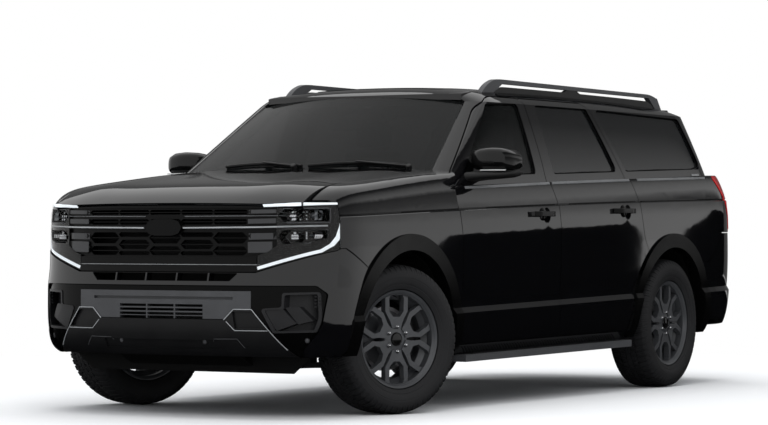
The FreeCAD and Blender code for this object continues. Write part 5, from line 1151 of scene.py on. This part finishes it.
def make_dash_details():
    middle = find("dashboard", towards_front(0.0, 1.215))[0]
    place = at(*(middle + Vector((0.02, 0.010, 0.075)))) @ turned(80, "X") @ turned(180, "Y")
    put("dash_screen", plate(0.60, 0.15, 0.012, 0.012, place, 0.003), SCREEN)
    vents = []
    for x in (-0.66, -0.18, 0.18, 0.66):
        place = facing(find("dashboard", towards_front(x, 1.150)))
        vents.append(plate(0.125, 0.052, 0.010, 0.006, place))
        vents += [plate(0.112, 0.0035, 0.0015, 0.009, place @ at(0, 0.009 * k, 0), 0.001)
                  for k in range(-2, 3)]
    put("dash_vents", merge(vents), GLOSS)
    place = at(0.400, -0.868, 1.262) @ turned(102, "X")
    put("instrument_screen", plate(0.32, 0.12, 0.02, 0.010, place, 0.003), SCREEN)
    console = [lean(pad((0.240, 0.92, 0.30), 0.010, 0.035, (), (0.2,), 14), (0.0, -0.36, 0.780)),
               lean(pad((0.230, 0.34, 0.070), 0.012, 0.026), (0.0, -0.12, 0.950))]
    put("centre_console", merge(console), CABIN)


def make_overhead_details():
    """Inner mirror, sun visors, grab handles and the roof's lining."""
    base = on_screen([(0.0, 0.80), (0.001, 0.80)])[0][0] + Vector((0, 0.012, -0.008))
    head = base + Vector((0, 0.060, -0.052))
    stem = pipe([base, base.lerp(head, 0.6) + Vector((0, 0.006, 0.004)), head], 0.008, 12)
    place = at(head.x, head.y + 0.010, head.z) @ turned(83, "X")
    glass = plate(0.235, 0.066, 0.024, 0.028, place, 0.010, 3)
    put("cabin_mirror", merge([stem, glass]), CABIN)
    grips, visors = [], []
    for s in (-1, 1):
        place = at(s * 0.33, -0.545, 1.755) @ turned(-12, "X")
        visors.append(plate(0.46, 0.165, 0.03, 0.018, place, 0.007, 3))
        for y in (-0.30, 0.70):
            path = curved([(s * 0.640, y - 0.09, 1.752), (s * 0.628, y - 0.06, 1.722),
                           (s * 0.628, y + 0.06, 1.722), (s * 0.640, y + 0.09, 1.752)])
            grips.append(pipe(path, 0.008))
    put("sun_visors", merge(visors), LINER)
    put("grab_handles", merge(grips), LINER)
    lining = [(meet("roof_panel", below(x, y)) or [Vector((x, y, 1.80))])[0] + Vector((0, 0, -0.006))
              for x in spaced(-0.60, 0.60, 14) for y in spaced(-0.60, 2.10, 14)]
    put("roof_lining", (lining, [(a, d, c, b) for a, b, c, d in grid_faces(15, 15)]), LINER)


# Carpets of the cabin and the load floor: ends in x, ends in y
CABIN_CARPETS = ((-0.70, -0.14, -0.95, -0.05), (0.14, 0.70, -0.95, -0.05), (-0.70, 0.70, 0.0, 0.92),
                 (-0.55, 0.55, 0.95, 1.30))
LOAD_CARPET = (-0.545, 0.545, 2.01, 2.53)


def carpet(x0, x1, y0, y1, z, thick, bevel):
    return slab([(x0, y0), (x1, y0), (x1, y1), (x0, y1)], thick, at(0, 0, z), bevel)


def make_carpets():
    put("cabin_carpet", merge([carpet(*room, 0.5962, 0.007, 0.003) for room in CABIN_CARPETS]), CARPET)
    put("load_carpet", carpet(*LOAD_CARPET, 0.6042, 0.006, 0.002), CARPET)


def make_door_linings():
    """Arm rest and pocket on the inside of each side door."""
    for door, y0, y1 in (("front_door_left", -0.98, -0.24), ("rear_door_left", 0.05, 0.80)):
        middle, long = (y0 + y1) / 2, y1 - y0
        x = find(door, ((0.30, middle, 0.985), (1, 0, 0)))[0].x
        rest = lean(pad((0.055, long * 0.82, 0.060), 0.004, 0.020), (x - 0.022, middle, 0.985))
        put_pair(door.replace("_left", "_armrest"), rest, LEATHER_TRIM, door)
        pocket = facing(((x + 0.002, middle, 0.73), (-1, 0, 0)))
        put_pair(door.replace("_left", "_pocket"),
                 plate(long * 0.80, 0.13, 0.03, 0.016, pocket, 0.006, 3), CABIN, door)


# Stage

WHITE = (1, 1, 1, 1)
WORLD_LIGHT, GREY_FLAG = 0.75, 0.16
FLOOR_NEAR, FLOOR_FAR = 3.4, 6.5  # where the floor begins and ends its turn into the white background
CAMERA_PLACE, CAMERA_WAY, CAMERA_LENS = (9.231, -15.927, 0.998), (-0.5117, 0.8591, 0.0063), 140.25
# Lights: name, place, target, size and power
LIGHTS = (("Key", (6, -9, 7), (0, 0, 0.8), (7, 3.5), 300), ("Top", (0, 0, 7.0), (0, 0, 0), (6, 10), 330),
          ("Back", (-7, 8, 6), (0, 0, 1), (6, 3), 220))
CARD_X, SKY_X, SKY_LOW, SKY_HIGH = 3.4, 3.5, 0.9, 9.0
QUARTER_SHADE = [(6.95, 0.0), (6.95, 0.95), (7.05, 1.05), (7.9, 1.38), (8.3, 1.42), (16.0, 1.42), (16.0, 0.0)]
# The side card's glow by height, as shares of the card
SKY_LEVELS = ((0.0, 0.90), (0.05, 0.85), (0.10, 0.30), (0.15, 0.18), (0.19, 0.80), (0.28, 0.50), (0.40, 0.16),
              (0.57, 0.07), (0.72, 0.07), (0.80, 0.85), (1.0, 0.85))


def link(name, data, place, way=None):
    """A new object in the scene that looks along a way."""
    made = bpy.data.objects.new(name, data)
    made.location = place
    if way:
        made.rotation_mode = "QUATERNION"
        made.rotation_quaternion = Vector(way).to_track_quat("-Z", "Y")
    bpy.context.scene.collection.objects.link(made)
    return made


def make_camera():
    data = bpy.data.cameras.new("Camera")
    data.sensor_width = 36.0
    data.lens = CAMERA_LENS
    data.clip_end = 200.0
    bpy.context.scene.camera = link("Camera", data, CAMERA_PLACE, CAMERA_WAY)


def make_lights():
    for name, place, target, size, energy in LIGHTS:
        data = bpy.data.lights.new(name, "AREA")
        data.shape = "RECTANGLE"
        data.size, data.size_y = size
        data.energy = energy
        link(name, data, place, Vector(target) - Vector(place)).visible_glossy = False


def calculate(tree, operation, a, b):
    made = tree.nodes.new("ShaderNodeMath")
    made.operation = operation
    made.use_clamp = True
    feed(made.inputs[0], a)
    feed(made.inputs[1], b)
    return made.outputs[0]


def blend(tree, share, first, second):
    made = node(tree, "MixShader", Fac=share)
    feed(made.inputs[1], first.outputs[0])
    feed(made.inputs[2], second.outputs[0])
    return made.outputs[0]


def seen_rays(tree):
    """1 for camera, transmission and glossy rays, 0 for the rays that light the object."""
    rays = node(tree, "LightPath").outputs
    straight = calculate(tree, "ADD", rays["Is Camera Ray"], rays["Is Transmission Ray"])
    return calculate(tree, "ADD", straight, rays["Is Glossy Ray"])


def make_world():
    world = bpy.data.worlds.new("Studio")
    bpy.context.scene.world = world
    world.use_nodes = True
    tree = world.node_tree
    tree.nodes.clear()
    soft = node(tree, "Background", Color=(0.93, 0.96, 1.0, 1), Strength=WORLD_LIGHT)
    white = node(tree, "Background", Color=WHITE, Strength=1.0)
    node(tree, "OutputWorld", Surface=blend(tree, seen_rays(tree), soft, white))


def floor_look():
    """Pale floor that takes the shadow near the object and turns into the white background further out."""
    look = material("Floor_Paint", (0.90, 0.90, 0.90), 0.8, spec=0.0, vary=0.006)
    tree = look.node_tree
    length = tree.nodes.new("ShaderNodeVectorMath")
    length.operation = "LENGTH"
    feed(length.inputs[0], node(tree, "TexCoord").outputs["Object"])
    spread = node(tree, "MapRange", Value=length.outputs["Value"], From_Min=FLOOR_NEAR, From_Max=FLOOR_FAR)
    spread.interpolation_type = "SMOOTHSTEP"
    far = calculate(tree, "MULTIPLY", spread.outputs["Result"], seen_rays(tree))
    feed(tree.nodes["Material Output"].inputs["Surface"],
         blend(tree, far, tree.nodes["Principled BSDF"], node(tree, "Emission", Color=WHITE, Strength=1.0)))
    return look


def sky_look():
    """The side card's glow: full low down, fading upwards."""
    look = bpy.data.materials.new("Sky_Card")
    look.use_nodes = True
    tree = look.node_tree
    tree.nodes.clear()
    split = node(tree, "SeparateXYZ", Vector=node(tree, "TexCoord").outputs["Object"])
    scale = node(tree, "MapRange", Value=split.outputs["Z"], From_Min=SKY_LOW, From_Max=SKY_HIGH)
    ramp = node(tree, "ValToRGB", Fac=scale.outputs["Result"])
    for position, _ in SKY_LEVELS[1:-1]:
        ramp.color_ramp.elements.new(position)
    for stop, (_, level) in zip(ramp.color_ramp.elements, SKY_LEVELS):
        stop.color = (level, level, level, 1)
    glow = node(tree, "Emission", Color=ramp.outputs["Color"])
    node(tree, "OutputMaterial", Surface=glow.outputs[0])
    return look


def flat_card(name, corners, look):
    mesh = bpy.data.meshes.new(name)
    mesh.from_pydata(corners, [], [tuple(range(len(corners)))])
    mesh.materials.append(look)
    card = link(name, mesh, (0, 0, 0))
    return card


def rounded_card(y0, y1, top0, top1, radius):
    """A card that stands on the floor beside the object, its two upper corners rounded."""
    out = [(y0, 0.0), (y1, 0.0)]
    for cy, top, start in ((y1 - radius, top1, 0), (y0 + radius, top0, 90)):
        turns = [math.radians(start + 15 * k) for k in range(7)]
        out += [(cy + radius * math.cos(a), top - radius + radius * math.sin(a)) for a in turns]
    return out


def make_stage():
    """Floor, cards that only reflections see, and lights."""
    make_world()
    flat_card("Floor", [(-60, -60, 0), (60, -60, 0), (60, 60, 0), (-60, 60, 0)], floor_look())
    flag = material("Dark_Flag", (0.002, 0.002, 0.002), 0.9, spec=0.0)
    grey = material("Grey_Flag", (0.002, 0.002, 0.002), 0.9, spec=0.0, emission=(1.0, 1.0, 1.0, GREY_FLAG))
    for name, corners, look in (
            ("Side_Flag", [(CARD_X, y, z) for y, z in rounded_card(2.50, 6.10, 1.04, 1.15, 0.30)], flag),
            ("Quarter_Flag", [(CARD_X, y, z) for y, z in QUARTER_SHADE], flag),
            ("Side_Sky", [(SKY_X, -2.4, SKY_LOW), (SKY_X, 18, SKY_LOW), (SKY_X, 18, SKY_HIGH),
                          (SKY_X, -2.4, SKY_HIGH)], sky_look()),
            ("Floor_Flag", [(-7, -9, 0.004), (7, -9, 0.004), (7, 12, 0.004), (-7, 12, 0.004)], flag),
            ("Back_Flag", [(-16, 9.0, 0), (5, 14.0, 0), (5, 14.0, 9), (-16, 9.0, 9)], grey)):
        card = flat_card(name, corners, look)
        card.visible_camera = False
        card.visible_shadow = False
        card.visible_diffuse = False
        card.visible_transmission = False
    make_lights()
    bpy.context.scene.view_settings.view_transform = "Standard"


make_camera()
make_stage()
dress_nodes()
make_wheels()
make_nose_lines()
make_lens_covers()
make_lamp_cells()
make_nose_sensors()
make_fog_louvres()
make_washer_jets()
make_wipers()
make_screen_border()
make_side_trim()
make_door_handles()
make_rail_bases()
make_board_treads()
make_mirrors()
make_gate_details()
make_gate_window()
make_rear_bumper_details()
make_tail_lamp_parts()
make_roof_glass()
make_aerial()
make_under_details()
make_seats()
make_steering_wheel()
make_dash_details()
make_overhead_details()
make_carpets()
make_door_linings()
